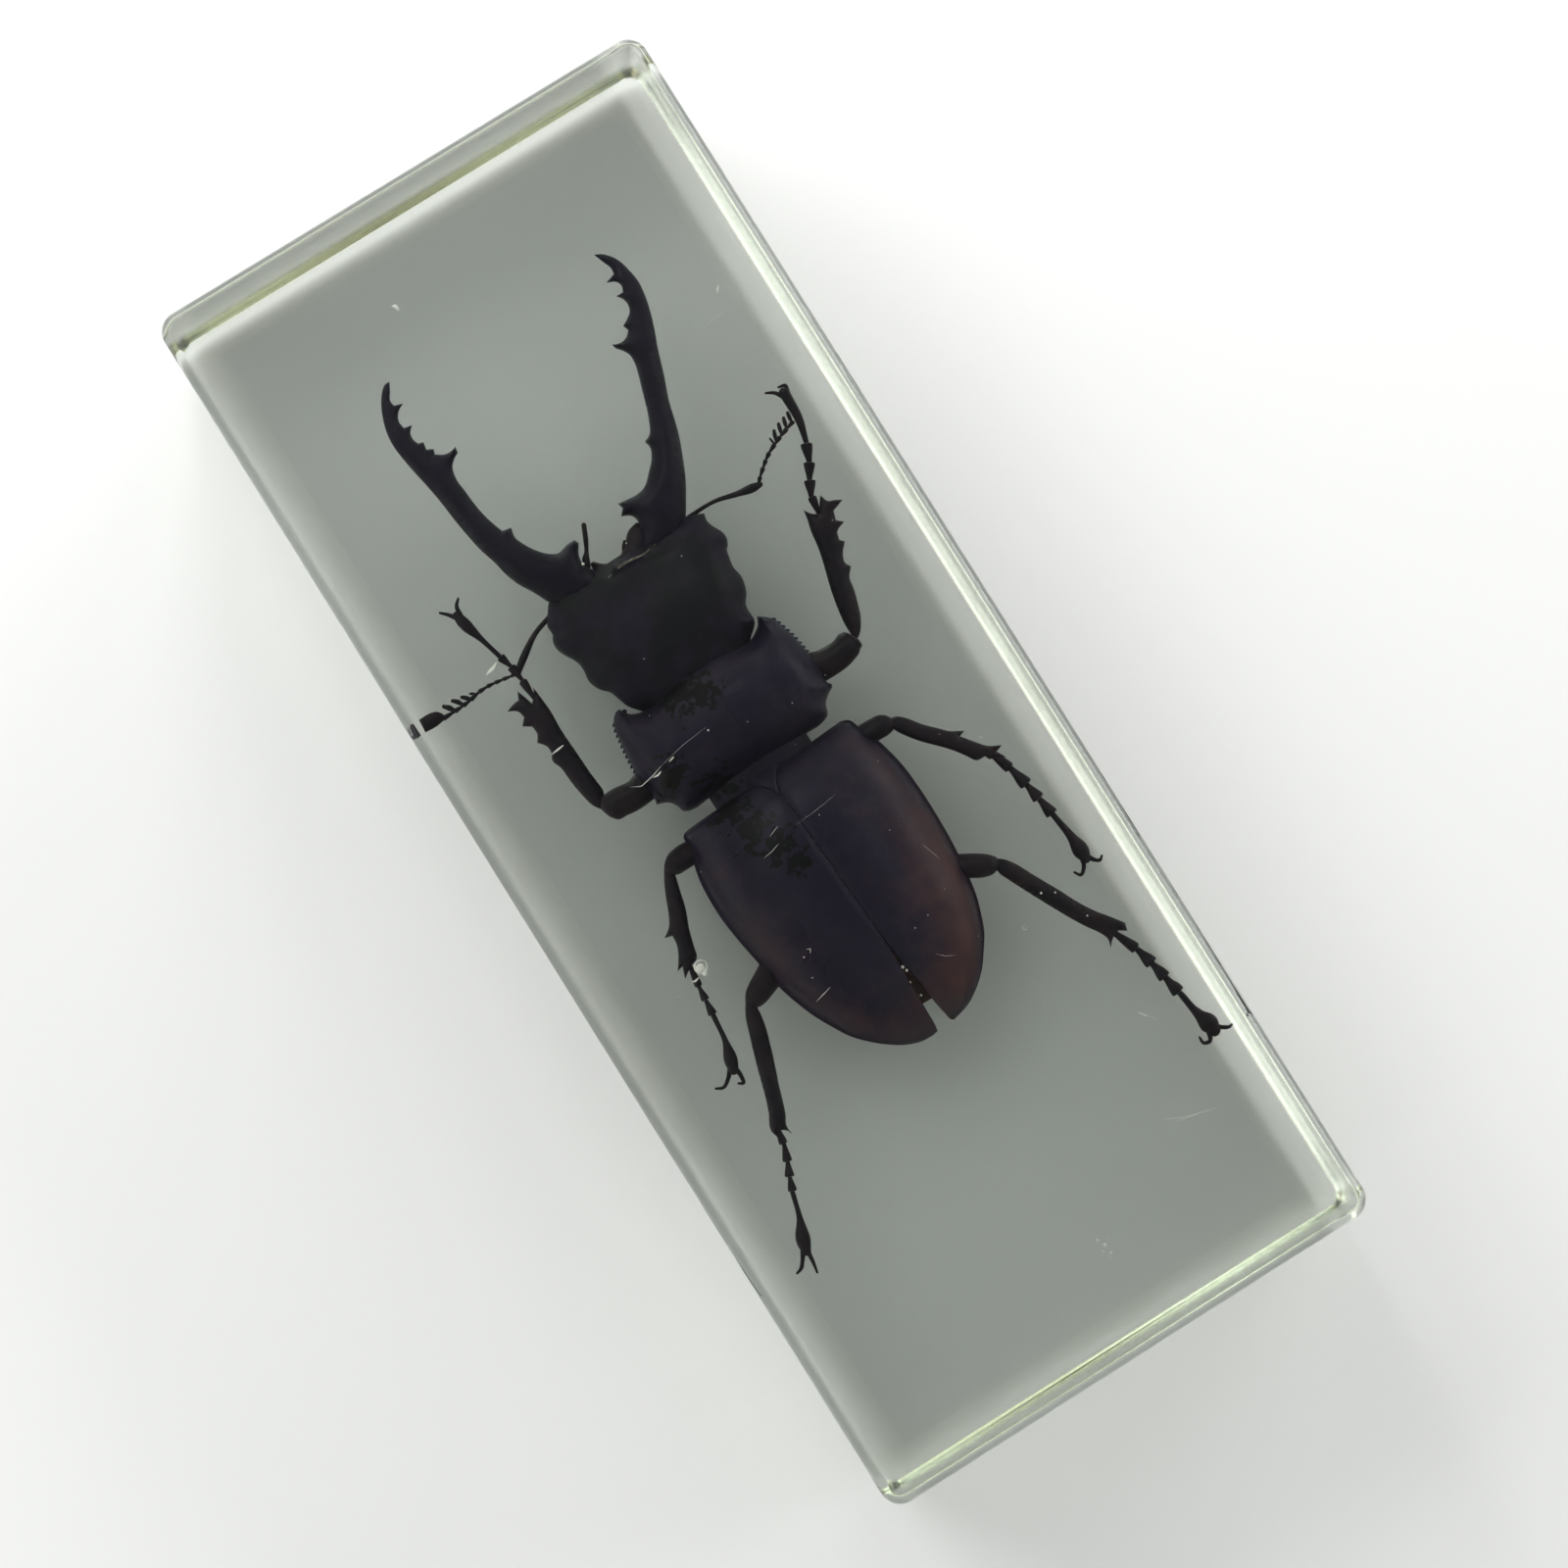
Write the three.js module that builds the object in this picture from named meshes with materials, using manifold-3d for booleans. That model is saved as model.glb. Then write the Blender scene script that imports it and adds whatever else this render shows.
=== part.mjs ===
// A stag beetle cast in a clear resin block. Millimetres, +Z up.
// The block lies flat with its length along Y, the beetle's jaws towards +Y and its back up.
// The origin is the middle of the block's base.
// The resin is parted at mid height, and the beetle sits in a pocket between the halves.
import * as THREE from 'three';
import { mergeVertices } from 'three/addons/utils/BufferGeometryUtils.js';
import Module from 'manifold-3d';

const wasm = await Module();
wasm.setup();

// ---- Driving dimensions -------------------------------------------------------------------

const BLOCK = { length: 110, width: 44.8, height: 20, cornerRadius: 1.7, edgeRadius: 0.9 };
const PARTING_HEIGHT = 10; // the beetle's sides, jaws and legs are spread out at this height
const POCKET_ROOM = 0.3;

const TRUNK_SIDES = 10;
const JAW_SIDES = 6;
const LIMB_SIDES = 6;
const THIN_SIDES = 4;
const SPINE_ROOT = 0.35; // how far a spine's root sinks into what it grows from

const COLOURS = { resin: 0xdfe3da, beetle: 0x1d1a20 };

// Rows run from the head end to the tail, and in the jaws from root to point:
// [left x, left y, right x, right y, height above the sides, depth below them].
const HEAD = [
  [-6.9, 20.6, 5.7, 20.6, 1.3, 1.5],
  [-7.9, 19.9, 6.7, 19.9, 2.3, 2.0],
  [-8.5, 18.9, 7.0, 19.0, 2.3, 2.3],
  [-8.75, 17.5, 7.5, 17.5, 2.5, 2.6],
  [-8.0, 15.2, 6.75, 15.2, 2.9, 3.0],
  [-7.95, 13.5, 6.85, 13.6, 3.0, 3.1],
  [-7.0, 11.6, 6.0, 11.6, 3.0, 3.1],
  [-5.8, 9.2, 4.7, 9.4, 2.5, 2.7],
  [-4.8, 7.6, 4.0, 7.6, 2.0, 2.3],
];
const PRONOTUM = [
  [-7.9, 9.5, 7.3, 9.6, 2.5, 2.5],
  [-8.35, 8.6, 7.7, 8.6, 3.4, 3.0],
  [-8.7, 5.6, 8.2, 5.7, 4.3, 3.6],
  [-8.55, 2.6, 8.25, 2.9, 4.1, 3.6],
  [-7.85, 1.7, 7.2, 1.8, 3.7, 3.4],
  [-7.3, 0.95, 6.9, 1.0, 3.1, 3.1],
  [-6.8, 0.3, 6.2, 0.5, 2.3, 2.7],
];
const WAIST = [
  [-4.7, 2.0, 4.65, 2.0, 2.6, 3.1],
  [-4.6, -3.0, 4.7, -3.0, 2.4, 3.5],
];
const WING_CASES = [
  [-7.9, -1.0, 7.86, -0.2, 2.2, 0.6],
  [-8.1, -1.9, 8.35, -1.15, 3.4, 0.8],
  [-8.64, -3.7, 9.2, -3.0, 4.3, 1.0],
  [-9.07, -6.8, 9.9, -6.2, 4.8, 1.0],
  [-8.95, -10.2, 10.0, -9.6, 4.9, 1.0],
  [-8.45, -13.3, 9.93, -13.0, 4.8, 1.0],
  [-7.8, -16.5, 9.57, -16.4, 4.4, 1.0],
  [-7.0, -18.9, 8.9, -19.0, 3.9, 0.9],
  [-5.8, -21.2, 7.75, -21.4, 3.2, 0.8],
  [-4.29, -23.1, 6.2, -23.3, 2.4, 0.7],
  [-2.5, -24.5, 4.6, -24.55, 1.5, 0.6],
  [-0.6, -25.38, 2.9, -25.18, 0.6, 0.5],
];
const ABDOMEN = [
  [-6.0, -1.0, 6.4, -0.5, 1.4, 2.0],
  [-7.6, -3.8, 8.1, -3.3, 1.6, 4.1],
  [-8.1, -8.0, 9.1, -7.6, 1.6, 4.3],
  [-7.6, -12.5, 9.0, -12.2, 1.6, 4.0],
  [-6.8, -16.5, 8.5, -16.4, 1.6, 3.4],
  [-5.2, -19.8, 7.4, -19.8, 1.5, 2.6],
  [-3.1, -21.9, 5.7, -21.9, 1.2, 1.7],
  [-1.0, -22.85, 3.6, -22.85, 0.7, 0.8],
];
const RIGHT_JAW = [
  [-0.2, 20.9, 5.4, 19.9, 1.6, 1.7],
  [2.2, 22.3, 6.6, 21.9, 1.75, 1.75],
  [4.0, 24.25, 8.0, 24.7, 1.7, 1.7],
  [5.9, 26.2, 8.85, 26.9, 1.5, 1.5],
  [7.5, 29.2, 9.9, 30.0, 1.3, 1.3],
  [8.6, 32.6, 10.9, 33.0, 1.15, 1.15],
  [9.3, 35.4, 11.8, 35.5, 1.05, 1.05],
  [10.8, 37.9, 12.5, 38.3, 0.9, 0.9],
  [11.1, 39.8, 12.4, 39.9, 0.75, 0.75],
  [11.1, 41.1, 11.9, 41.4, 0.5, 0.5],
  [10.65, 42.3, 10.8, 42.45, 0.15, 0.15],
];
const LEFT_JAW = [
  [-6.9, 19.7, -1.9, 20.7, 1.6, 1.7],
  [-8.2, 22.1, -3.4, 21.9, 1.75, 1.75],
  [-9.25, 24.6, -5.2, 23.7, 1.7, 1.7],
  [-9.75, 26.7, -6.95, 26.1, 1.5, 1.5],
  [-10.3, 30.0, -8.15, 29.6, 1.3, 1.3],
  [-10.65, 33.1, -8.4, 32.7, 1.15, 1.15],
  [-11.1, 35.6, -8.9, 35.4, 1.05, 1.05],
  [-11.3, 38.2, -9.75, 37.9, 0.9, 0.9],
  [-10.95, 39.9, -9.75, 39.7, 0.75, 0.75],
  [-10.2, 41.4, -9.55, 41.1, 0.5, 0.5],
  [-9.05, 42.42, -8.95, 42.25, 0.15, 0.15],
];

// The wing cases part towards the tail, and the slot between them shows the abdomen:
// its corners down the left side and back up the right.
const WING_SLOT = [[0.02, -2.2], [0.85, -18], [0.93, -22], [0.9, -26], [2.25, -26], [1.8, -22],
  [1.2, -18], [0.14, -2.2]];
const WING_SLOT_FLOOR = 1.35; // height above the sides

// Spines and teeth: [root x, root y, tip x, tip y, root width].
const RIGHT_TEETH = [
  [11.0, 39.9, 10.25, 40.02, 0.6],
  [10.9, 38.3, 10.4, 38.6, 0.6],
  [9.75, 36.1, 9.5, 36.3, 0.6],
  [9.1, 34.9, 7.95, 35.3, 1.2],
  [6.5, 27.1, 6.05, 27.4, 0.8],
  [3.3, 23.6, 1.5, 24.3, 1.3],
  [3.0, 23.2, 1.2, 23.2, 1.2],
];
const LEFT_TEETH = [
  [-9.55, 40.15, -8.85, 40.27, 0.6],
  [-9.8, 38.15, -9.15, 38.4, 0.6],
  [-9.4, 36.4, -9.1, 36.75, 0.6],
  [-9.1, 35.6, -8.7, 35.85, 0.6],
  [-8.4, 34.75, -7.1, 34.88, 1.0],
  [-7.3, 26.8, -6.75, 27.15, 0.8],
  [-4.3, 23.0, -2.8, 23.55, 1.3],
  [-4.0, 22.3, -2.75, 22.9, 1.1],
];
const BODY_SPINES = [
  [-7.1, 9.0, -7.2, 10.25, 1.8],
  [6.3, 9.2, 6.2, 10.6, 1.8],
  [-8.2, 2.6, -8.62, 2.0, 0.9],
  [7.9, 2.9, 8.62, 2.62, 0.9],
];

// Limb paths run outwards: [x, y, width], and a fourth number is the depth of that place
// below the sides. Feet, claws and feelers have none.
const LEGS = {
  rightFore: {
    femur: [[3.2, 4.2, 1.9, 1.7], [8.2, 4.62, 2.7, 0.5], [10.6, 4.6, 2.3], [12.05, 4.85, 1.4]],
    tibia: [[12.25, 5.1, 1.0], [12.85, 7.05, 1.6], [13.8, 11.1, 1.85],
      [14.85, 14.9, 2.3]],
    spines: [[14.2, 9.6, 14.85, 10.05, 0.6], [14.9, 11.8, 15.5, 12.0, 0.6],
      [15.3, 13.6, 16.3, 13.4, 0.6], [15.8, 15.1, 17.15, 14.97, 0.8],
      [15.4, 14.7, 15.8, 16.25, 1.1], [14.2, 14.7, 14.0, 16.0, 0.8]],
    tarsus: [[14.8, 15.0, 0.7], [15.75, 17.75, 0.95], [16.5, 19.05, 0.9], [17.1, 20.5, 0.95]],
    lastJoint: [[17.15, 20.6, 0.45], [17.6, 22.3, 0.75], [17.75, 24.8, 0.95]],
    claws: [[[17.5, 24.6], [17.1, 25.2], [16.45, 25.6]],
      [[17.95, 24.6], [18.15, 25.3], [17.6, 25.45]]],
  },
  leftFore: {
    femur: [[-3.4, 3.6, 1.9, 1.7], [-8.4, 3.78, 2.6, 0.5], [-10.8, 3.7, 2.35],
      [-12.15, 3.8, 1.5]],
    tibia: [[-12.4, 4.2, 1.2], [-12.62, 6.4, 1.6], [-12.78, 11.0, 1.8], [-13.0, 14.3, 2.2]],
    spines: [[-13.4, 9.2, -13.88, 9.45, 0.6], [-13.5, 11.25, -14.15, 11.3, 0.6],
      [-13.6, 12.8, -14.45, 13.02, 0.7], [-13.6, 14.5, -14.85, 14.7, 0.9],
      [-13.6, 14.0, -13.3, 15.65, 0.9], [-12.3, 14.0, -12.05, 15.25, 0.9]],
    tarsus: [[-12.4, 14.4, 0.7], [-12.6, 17.0, 0.65], [-12.72, 17.8, 0.7],
      [-13.02, 18.8, 0.7]],
    lastJoint: [[-13.05, 18.9, 0.4], [-13.5, 20.6, 0.45], [-14.1, 22.8, 0.95],
      [-14.2, 23.4, 0.7]],
    claws: [[[-14.3, 23.2], [-15.25, 24.3]],
      [[-13.95, 23.2], [-13.8, 24.1], [-13.4, 24.5]]],
  },
  rightMiddle: {
    femur: [[3.4, -1.9, 1.4, 2.0], [9.0, -2.1, 1.85, 0.3], [10.9, -2.35, 1.3]],
    tibia: [[10.9, -2.4, 1.0], [12.05, -3.7, 1.3], [15.4, -7.85, 1.4], [16.1, -8.6, 1.2]],
    spines: [[14.2, -5.5, 15.55, -6.05, 0.6], [16.0, -8.1, 17.5, -8.62, 0.7],
      [16.4, -8.5, 17.3, -9.7, 0.6]],
    tarsus: [[16.3, -8.5, 0.7], [17.1, -10.7, 0.95], [17.5, -12.5, 1.15],
      [17.75, -13.95, 1.05], [18.0, -15.6, 1.05]],
    lastJoint: [[18.02, -15.7, 0.5], [18.3, -17.8, 0.75], [18.37, -19.4, 1.3],
      [18.37, -19.9, 0.9]],
    claws: [[[18.15, -19.6], [17.9, -20.4], [17.3, -20.85], [16.97, -20.4]],
      [[18.5, -19.6], [18.9, -20.4], [19.3, -20.65], [19.6, -20.45]]],
  },
  leftMiddle: {
    femur: [[-3.4, -2.8, 1.4, 2.0], [-8.7, -2.75, 1.95, 0.3], [-10.6, -3.0, 1.5]],
    tibia: [[-10.6, -2.9, 1.2], [-11.2, -4.5, 1.4], [-12.4, -7.8, 1.38], [-13.1, -10.2, 1.45]],
    spines: [[-12.4, -6.7, -13.78, -7.42, 0.6], [-13.3, -9.2, -14.3, -10.25, 0.6],
      [-13.3, -9.8, -14.12, -11.1, 0.6]],
    tarsus: [[-13.15, -10.0, 0.7], [-13.5, -12.3, 0.65], [-13.6, -13.45, 0.7],
      [-13.72, -14.75, 0.75]],
    lastJoint: [[-13.73, -14.85, 0.45], [-14.0, -17.0, 0.5], [-14.45, -18.6, 1.1],
      [-14.65, -19.3, 0.8]],
    claws: [[[-14.8, -19.0], [-15.4, -19.65], [-16.1, -20.05], [-16.65, -19.8]],
      [[-14.5, -19.0], [-14.4, -20.0], [-14.55, -20.6], [-14.9, -20.4]]],
  },
  rightHind: {
    femur: [[4.4, -11.8, 1.6, 2.4], [9.8, -15.25, 2.1, 0.4], [12.0, -16.5, 1.4]],
    tibia: [[12.0, -16.4, 1.1], [13.1, -18.45, 1.42], [15.9, -23.9, 1.46], [17.3, -26.2, 1.65]],
    spines: [[17.4, -25.6, 18.1, -26.65, 0.8], [16.9, -25.8, 16.2, -27.1, 0.6],
      [17.6, -25.6, 18.35, -25.95, 0.6]],
    tarsus: [[17.0, -26.0, 0.7], [18.0, -28.4, 0.95], [18.4, -30.0, 1.1],
      [18.7, -31.5, 1.1], [19.0, -33.1, 1.1]],
    lastJoint: [[19.0, -33.2, 0.5], [19.35, -35.2, 0.8], [19.7, -36.6, 1.55],
      [19.75, -37.1, 1.0]],
    claws: [[[19.4, -36.8], [18.95, -37.65], [18.5, -37.5], [18.45, -36.95]],
      [[19.95, -36.8], [20.45, -37.25], [20.9, -37.5], [21.25, -37.45]]],
  },
  leftHind: {
    femur: [[-3.8, -11.6, 1.6, 2.4], [-8.7, -14.6, 2.1, 0.4], [-10.7, -15.4, 1.5]],
    tibia: [[-10.7, -15.3, 1.2], [-11.3, -17.4, 1.42], [-12.9, -22.4, 1.42], [-14.0, -25.1, 1.4]],
    spines: [[-14.1, -24.7, -14.58, -25.7, 0.7], [-13.6, -24.9, -13.33, -26.4, 0.6]],
    tarsus: [[-14.15, -25.0, 0.7], [-14.4, -26.5, 0.7], [-14.9, -27.85, 0.75],
      [-15.4, -28.95, 0.75], [-15.8, -30.05, 0.7]],
    lastJoint: [[-15.8, -30.1, 0.4], [-16.4, -32.0, 0.5], [-17.2, -33.9, 1.2],
      [-17.4, -34.6, 0.8]],
    claws: [[[-17.5, -34.2], [-18.1, -35.1], [-18.55, -35.6], [-19.0, -35.7]],
      [[-17.3, -34.4], [-17.4, -35.6], [-17.57, -36.5]]],
  },
};

// A feeler is a stalk, a whip bent back from its end, and a comb of leaves near the whip's tip.
const FEELERS = {
  right: {
    stalk: [[5.3, 20.3, 0.4], [8.4, 20.3, 0.35], [10.2, 19.85, 0.5], [11.6, 19.6, 0.72],
      [12.1, 19.55, 0.5]],
    whip: [[12.0, 19.6, 0.35], [13.1, 20.6, 0.35], [14.8, 21.8, 0.45], [17.15, 22.45, 0.5]],
    leaves: [[15.0, 21.8, 14.85, 22.45, 0.5], [15.65, 22.0, 15.4, 22.8, 0.55],
      [16.25, 22.15, 16.05, 23.05, 0.6], [16.85, 22.3, 16.6, 23.3, 0.6],
      [17.2, 22.4, 17.1, 23.45, 0.6]],
  },
  left: {
    stalk: [[-7.9, 19.4, 0.45], [-9.5, 18.9, 0.42], [-11.5, 17.65, 0.62],
      [-12.5, 16.9, 0.55]],
    whip: [[-12.4, 16.9, 0.35], [-13.8, 17.05, 0.35], [-16.0, 17.2, 0.42],
      [-18.0, 17.0, 0.52], [-21.2, 16.95, 0.55]],
    leaves: [[-16.6, 17.1, -16.9, 17.6, 0.5], [-17.2, 17.0, -17.5, 17.8, 0.55],
      [-17.9, 17.0, -18.3, 17.85, 0.6], [-18.8, 17.0, -19.2, 17.9, 0.7],
      [-20.0, 17.1, -20.0, 17.95, 0.9], [-20.8, 17.1, -20.8, 17.95, 0.9]],
  },
};
const PALPS = [
  [[-3.2, 21.2, 0.5], [-2.7, 22.2, 0.4], [-1.68, 24.25, 0.4]],
  [[-0.1, 20.6, 0.4], [0.4, 21.4, 0.25]],
];

// ---- Solids -------------------------------------------------------------------------------

const point = (x, y, z = PARTING_HEIGHT) => new THREE.Vector3(x, y, z);

// Turns a closed three.js geometry into a manifold solid, whichever way its faces ran.
function solid(geometry) {
  geometry.deleteAttribute('normal');
  geometry.deleteAttribute('uv');
  const merged = mergeVertices(geometry);
  const { array } = merged.attributes.position;
  const corner = (i) => new THREE.Vector3().fromArray(array, 3 * i);
  const triangles = [];
  let volume = 0;
  for (let i = 0; i < merged.index.count; i += 3) {
    const [a, b, c] = merged.index.array.slice(i, i + 3);
    if (a === b || b === c || c === a) continue;
    triangles.push([a, b, c]);
    volume += corner(a).dot(corner(b).cross(corner(c)));
  }
  if (volume < 0) triangles.forEach((triangle) => triangle.reverse());
  return new wasm.Manifold(new wasm.Mesh({
    numProp: 3,
    vertProperties: new Float32Array(array),
    triVerts: new Uint32Array(triangles.flat()),
  }));
}

const join = (solids) => solids.reduce((whole, next) => whole.add(next));

// A closed skin over a row of stations, each an oval between its left and right points.
function skin(stations, sides) {
  const profile = [new THREE.Vector2(0, 0)];
  stations.forEach((_, i) => profile.push(new THREE.Vector2(1, i)));
  profile.push(new THREE.Vector2(0, stations.length - 1));
  const geometry = new THREE.LatheGeometry(profile, sides, Math.PI / 2);
  const at = geometry.attributes.position;
  for (let i = 0; i < at.count; i++) {
    const { left, right, up, down } = stations[Math.round(at.getY(i))];
    const rise = at.getZ(i);
    const place = left.clone().lerp(right, 0.5 + at.getX(i) / 2);
    place.z += rise * (rise > 0 ? up : down);
    at.setXYZ(i, place.x, place.y, place.z);
  }
  return solid(geometry);
}

// The stations of rows or of a path, widened by the room and lengthened by it at both ends.
function rowStations(rows, room) {
  const middles = rows.map(([leftX, leftY, rightX, rightY]) => (
    point((leftX + rightX) / 2, (leftY + rightY) / 2)));
  return rows.map(([leftX, leftY, rightX, rightY, up, down], i) => {
    const across = point(rightX - leftX, rightY - leftY, 0).normalize().multiplyScalar(room);
    const beyond = pastEnd(middles, i, room);
    return {
      left: point(leftX, leftY).sub(across).add(beyond),
      right: point(rightX, rightY).add(across).add(beyond),
      up: up + room,
      down: down + room,
    };
  });
}

function pathStations(path, room) {
  const FLATNESS = 0.9; // a limb's height as a share of its width
  const middles = path.map(([x, y, , depth = 0]) => point(x, y, PARTING_HEIGHT - depth));
  return path.map(([, , width], i) => {
    const half = width / 2 + room;
    const ahead = heading(middles, i);
    const across = point(ahead.y, -ahead.x, 0).multiplyScalar(half);
    const middle = middles[i].clone().add(pastEnd(middles, i, room));
    return {
      left: middle.clone().sub(across),
      right: middle.clone().add(across),
      up: half * FLATNESS,
      down: half * FLATNESS,
    };
  });
}

function heading(middles, i) {
  const before = middles[Math.max(i - 1, 0)];
  const after = middles[Math.min(i + 1, middles.length - 1)];
  return after.clone().sub(before).setZ(0).normalize();
}

function pastEnd(middles, i, room) {
  const sign = (i === middles.length - 1 ? 1 : 0) - (i === 0 ? 1 : 0);
  return heading(middles, i).multiplyScalar(sign * room);
}

const trunkSkin = (rows, room) => skin(rowStations(rows, room), TRUNK_SIDES);
const limbSkin = (path, room, sides = LIMB_SIDES) => skin(pathStations(path, room), sides);
const thinSkin = (path, room) => limbSkin(path, room, THIN_SIDES);

// A pointed spine, rooted a little inside what it grows from.
function spine([rootX, rootY, tipX, tipY, width], room) {
  const root = point(rootX, rootY);
  const tip = point(tipX, tipY);
  const ahead = tip.clone().sub(root).normalize();
  root.addScaledVector(ahead, -SPINE_ROOT);
  tip.addScaledVector(ahead, room);
  const cone = new THREE.ConeGeometry(width / 2 + room, root.distanceTo(tip), THIN_SIDES);
  cone.applyQuaternion(new THREE.Quaternion().setFromUnitVectors(point(0, 1, 0), ahead));
  cone.translate(...root.lerp(tip, 0.5));
  return solid(cone);
}

const spines = (rows, room) => rows.map((row) => spine(row, room));

// ---- The beetle ---------------------------------------------------------------------------

// A foot is a row of flared joints, then one long joint that carries two hooked claws.
function foot({ tarsus, lastJoint, claws }) {
  const NECK = 0.5; // a joint's width at its root, as a share of its width at its end
  const STEP = 0.12; // the share of a joint's length over which the one before it ends
  const CLAW_ROOT = 0.36; // a claw's width at its root
  const CLAW_TAPER = 0.06; // what it loses from one point of its path to the next
  const clawPath = (path) => path.map(([x, y], i) => [x, y, CLAW_ROOT - CLAW_TAPER * i]);
  const joints = tarsus.slice(1).flatMap(([x, y, width], i) => {
    const [fromX, fromY] = tarsus[i];
    const rootX = THREE.MathUtils.lerp(fromX, x, STEP);
    const rootY = THREE.MathUtils.lerp(fromY, y, STEP);
    return [[rootX, rootY, width * NECK], [x, y, width]];
  });
  return join([
    thinSkin([tarsus[0], ...joints, ...lastJoint], 0),
    ...claws.map((path) => thinSkin(clawPath(path), 0)),
  ]);
}

function leg(parts) {
  return join([
    limbSkin(parts.femur, 0),
    limbSkin(parts.tibia, 0),
    ...spines(parts.spines, 0),
    foot(parts),
  ]);
}

// A cutter of an outline's shape, from its floor up past the block.
function cutter(corners, floor) {
  const outline = new THREE.Shape(corners.map(([x, y]) => new THREE.Vector2(x, y)));
  const geometry = new THREE.ExtrudeGeometry(outline, {
    depth: BLOCK.height,
    bevelEnabled: false,
  });
  geometry.translate(0, 0, floor);
  return solid(geometry);
}

// Behind the abdomen the slot between the wing cases goes right through.
function wingCases() {
  const slot = cutter(WING_SLOT, PARTING_HEIGHT + WING_SLOT_FLOOR);
  const gap = cutter(WING_SLOT.slice(2, 6), 0);
  return trunkSkin(WING_CASES, 0).subtract(gap).subtract(slot);
}

function beetle() {
  return join([
    wingCases(),
    ...[HEAD, PRONOTUM, WAIST, ABDOMEN].map((rows) => trunkSkin(rows, 0)),
    ...spines(BODY_SPINES, 0),
    ...[RIGHT_JAW, LEFT_JAW].map((rows) => skin(rowStations(rows, 0), JAW_SIDES)),
    ...spines([...RIGHT_TEETH, ...LEFT_TEETH], 0),
    ...Object.values(LEGS).map(leg),
    ...Object.values(FEELERS).flatMap(({ stalk, whip, leaves }) => (
      [thinSkin(stalk, 0), thinSkin(whip, 0), ...spines(leaves, 0)])),
    ...PALPS.map((path) => thinSkin(path, 0)),
  ]);
}

// ---- The pocket ---------------------------------------------------------------------------

// The pocket follows the beetle with a little room, but takes its feet, claws and combs whole.
function footPocket({ tarsus, lastJoint, claws }) {
  const CLAW_WIDTH = 1.2;
  const middle = tarsus[tarsus.length >> 1];
  const widest = Math.max(...tarsus.map(([, , width]) => width));
  const sleeve = [tarsus[0], middle, lastJoint.at(-1)].map(([x, y]) => [x, y, widest]);
  return join([
    thinSkin(sleeve, 2 * POCKET_ROOM),
    ...claws.map((path) => thinSkin([[...path[0], CLAW_WIDTH], [...path.at(-1), CLAW_WIDTH]],
      POCKET_ROOM)),
  ]);
}

function feelerPocket({ stalk, whip, leaves }) {
  const middle = ([rootX, rootY, tipX, tipY, width]) => (
    [(rootX + tipX) / 2, (rootY + tipY) / 2, width + 3 * POCKET_ROOM]);
  return join([
    thinSkin(stalk, POCKET_ROOM),
    thinSkin(whip, 1.5 * POCKET_ROOM),
    thinSkin([middle(leaves[0]), middle(leaves.at(-1))], 1.5 * POCKET_ROOM),
  ]);
}

// Behind the waist one form as deep below as it is high holds the wing cases and the abdomen.
const hindBody = () => WING_CASES.map((row) => [...row.slice(0, 5), row[4]]);

function pocket() {
  return join([
    ...[HEAD, PRONOTUM, WAIST, hindBody()].map((rows) => trunkSkin(rows, POCKET_ROOM)),
    ...spines(BODY_SPINES, POCKET_ROOM),
    ...[RIGHT_JAW, LEFT_JAW].map((rows) => skin(rowStations(rows, POCKET_ROOM), JAW_SIDES)),
    ...spines([...RIGHT_TEETH, ...LEFT_TEETH], POCKET_ROOM),
    ...Object.values(LEGS).flatMap((parts) => [
      limbSkin(parts.femur, POCKET_ROOM),
      limbSkin(parts.tibia, POCKET_ROOM),
      ...spines(parts.spines, POCKET_ROOM),
      footPocket(parts),
    ]),
    ...Object.values(FEELERS).map(feelerPocket),
    ...PALPS.map((path) => thinSkin(path, POCKET_ROOM)),
  ]);
}

// ---- The resin ----------------------------------------------------------------------------

function block() {
  const { length, width, height, cornerRadius, edgeRadius } = BLOCK;
  const cornerX = width / 2 - cornerRadius;
  const cornerY = length / 2 - cornerRadius;
  const faceRadius = cornerRadius - edgeRadius;
  const outline = new THREE.Shape();
  outline.absarc(cornerX, cornerY, faceRadius, 0, 0.5 * Math.PI);
  outline.absarc(-cornerX, cornerY, faceRadius, 0.5 * Math.PI, Math.PI);
  outline.absarc(-cornerX, -cornerY, faceRadius, Math.PI, 1.5 * Math.PI);
  outline.absarc(cornerX, -cornerY, faceRadius, 1.5 * Math.PI, 2 * Math.PI);
  const geometry = new THREE.ExtrudeGeometry(outline, {
    depth: height - 2 * edgeRadius,
    bevelThickness: edgeRadius,
    bevelSize: edgeRadius,
    bevelSegments: 3,
    curveSegments: 3,
  });
  geometry.translate(0, 0, edgeRadius);
  return solid(geometry);
}

// All the space above the parting plane, or all below it.
function halfSpace(side) {
  const margin = 10;
  const box = new THREE.BoxGeometry(BLOCK.width + margin, BLOCK.length + margin, BLOCK.height);
  box.translate(0, 0, PARTING_HEIGHT + side * BLOCK.height / 2);
  return solid(box);
}

// ---- The assembly -------------------------------------------------------------------------

function mesh(name, body, material) {
  const { vertProperties, triVerts } = body.getMesh();
  const geometry = new THREE.BufferGeometry();
  geometry.setAttribute('position', new THREE.BufferAttribute(vertProperties, 3));
  geometry.setIndex(new THREE.BufferAttribute(triVerts, 1));
  geometry.computeVertexNormals();
  const made = new THREE.Mesh(geometry, material);
  made.name = name;
  return made;
}

const resin = new THREE.MeshStandardMaterial({
  color: COLOURS.resin, roughness: 0.05, metalness: 0, transparent: true, opacity: 0.35,
});
const chitin = new THREE.MeshStandardMaterial({
  color: COLOURS.beetle, roughness: 0.35, metalness: 0,
});

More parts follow.
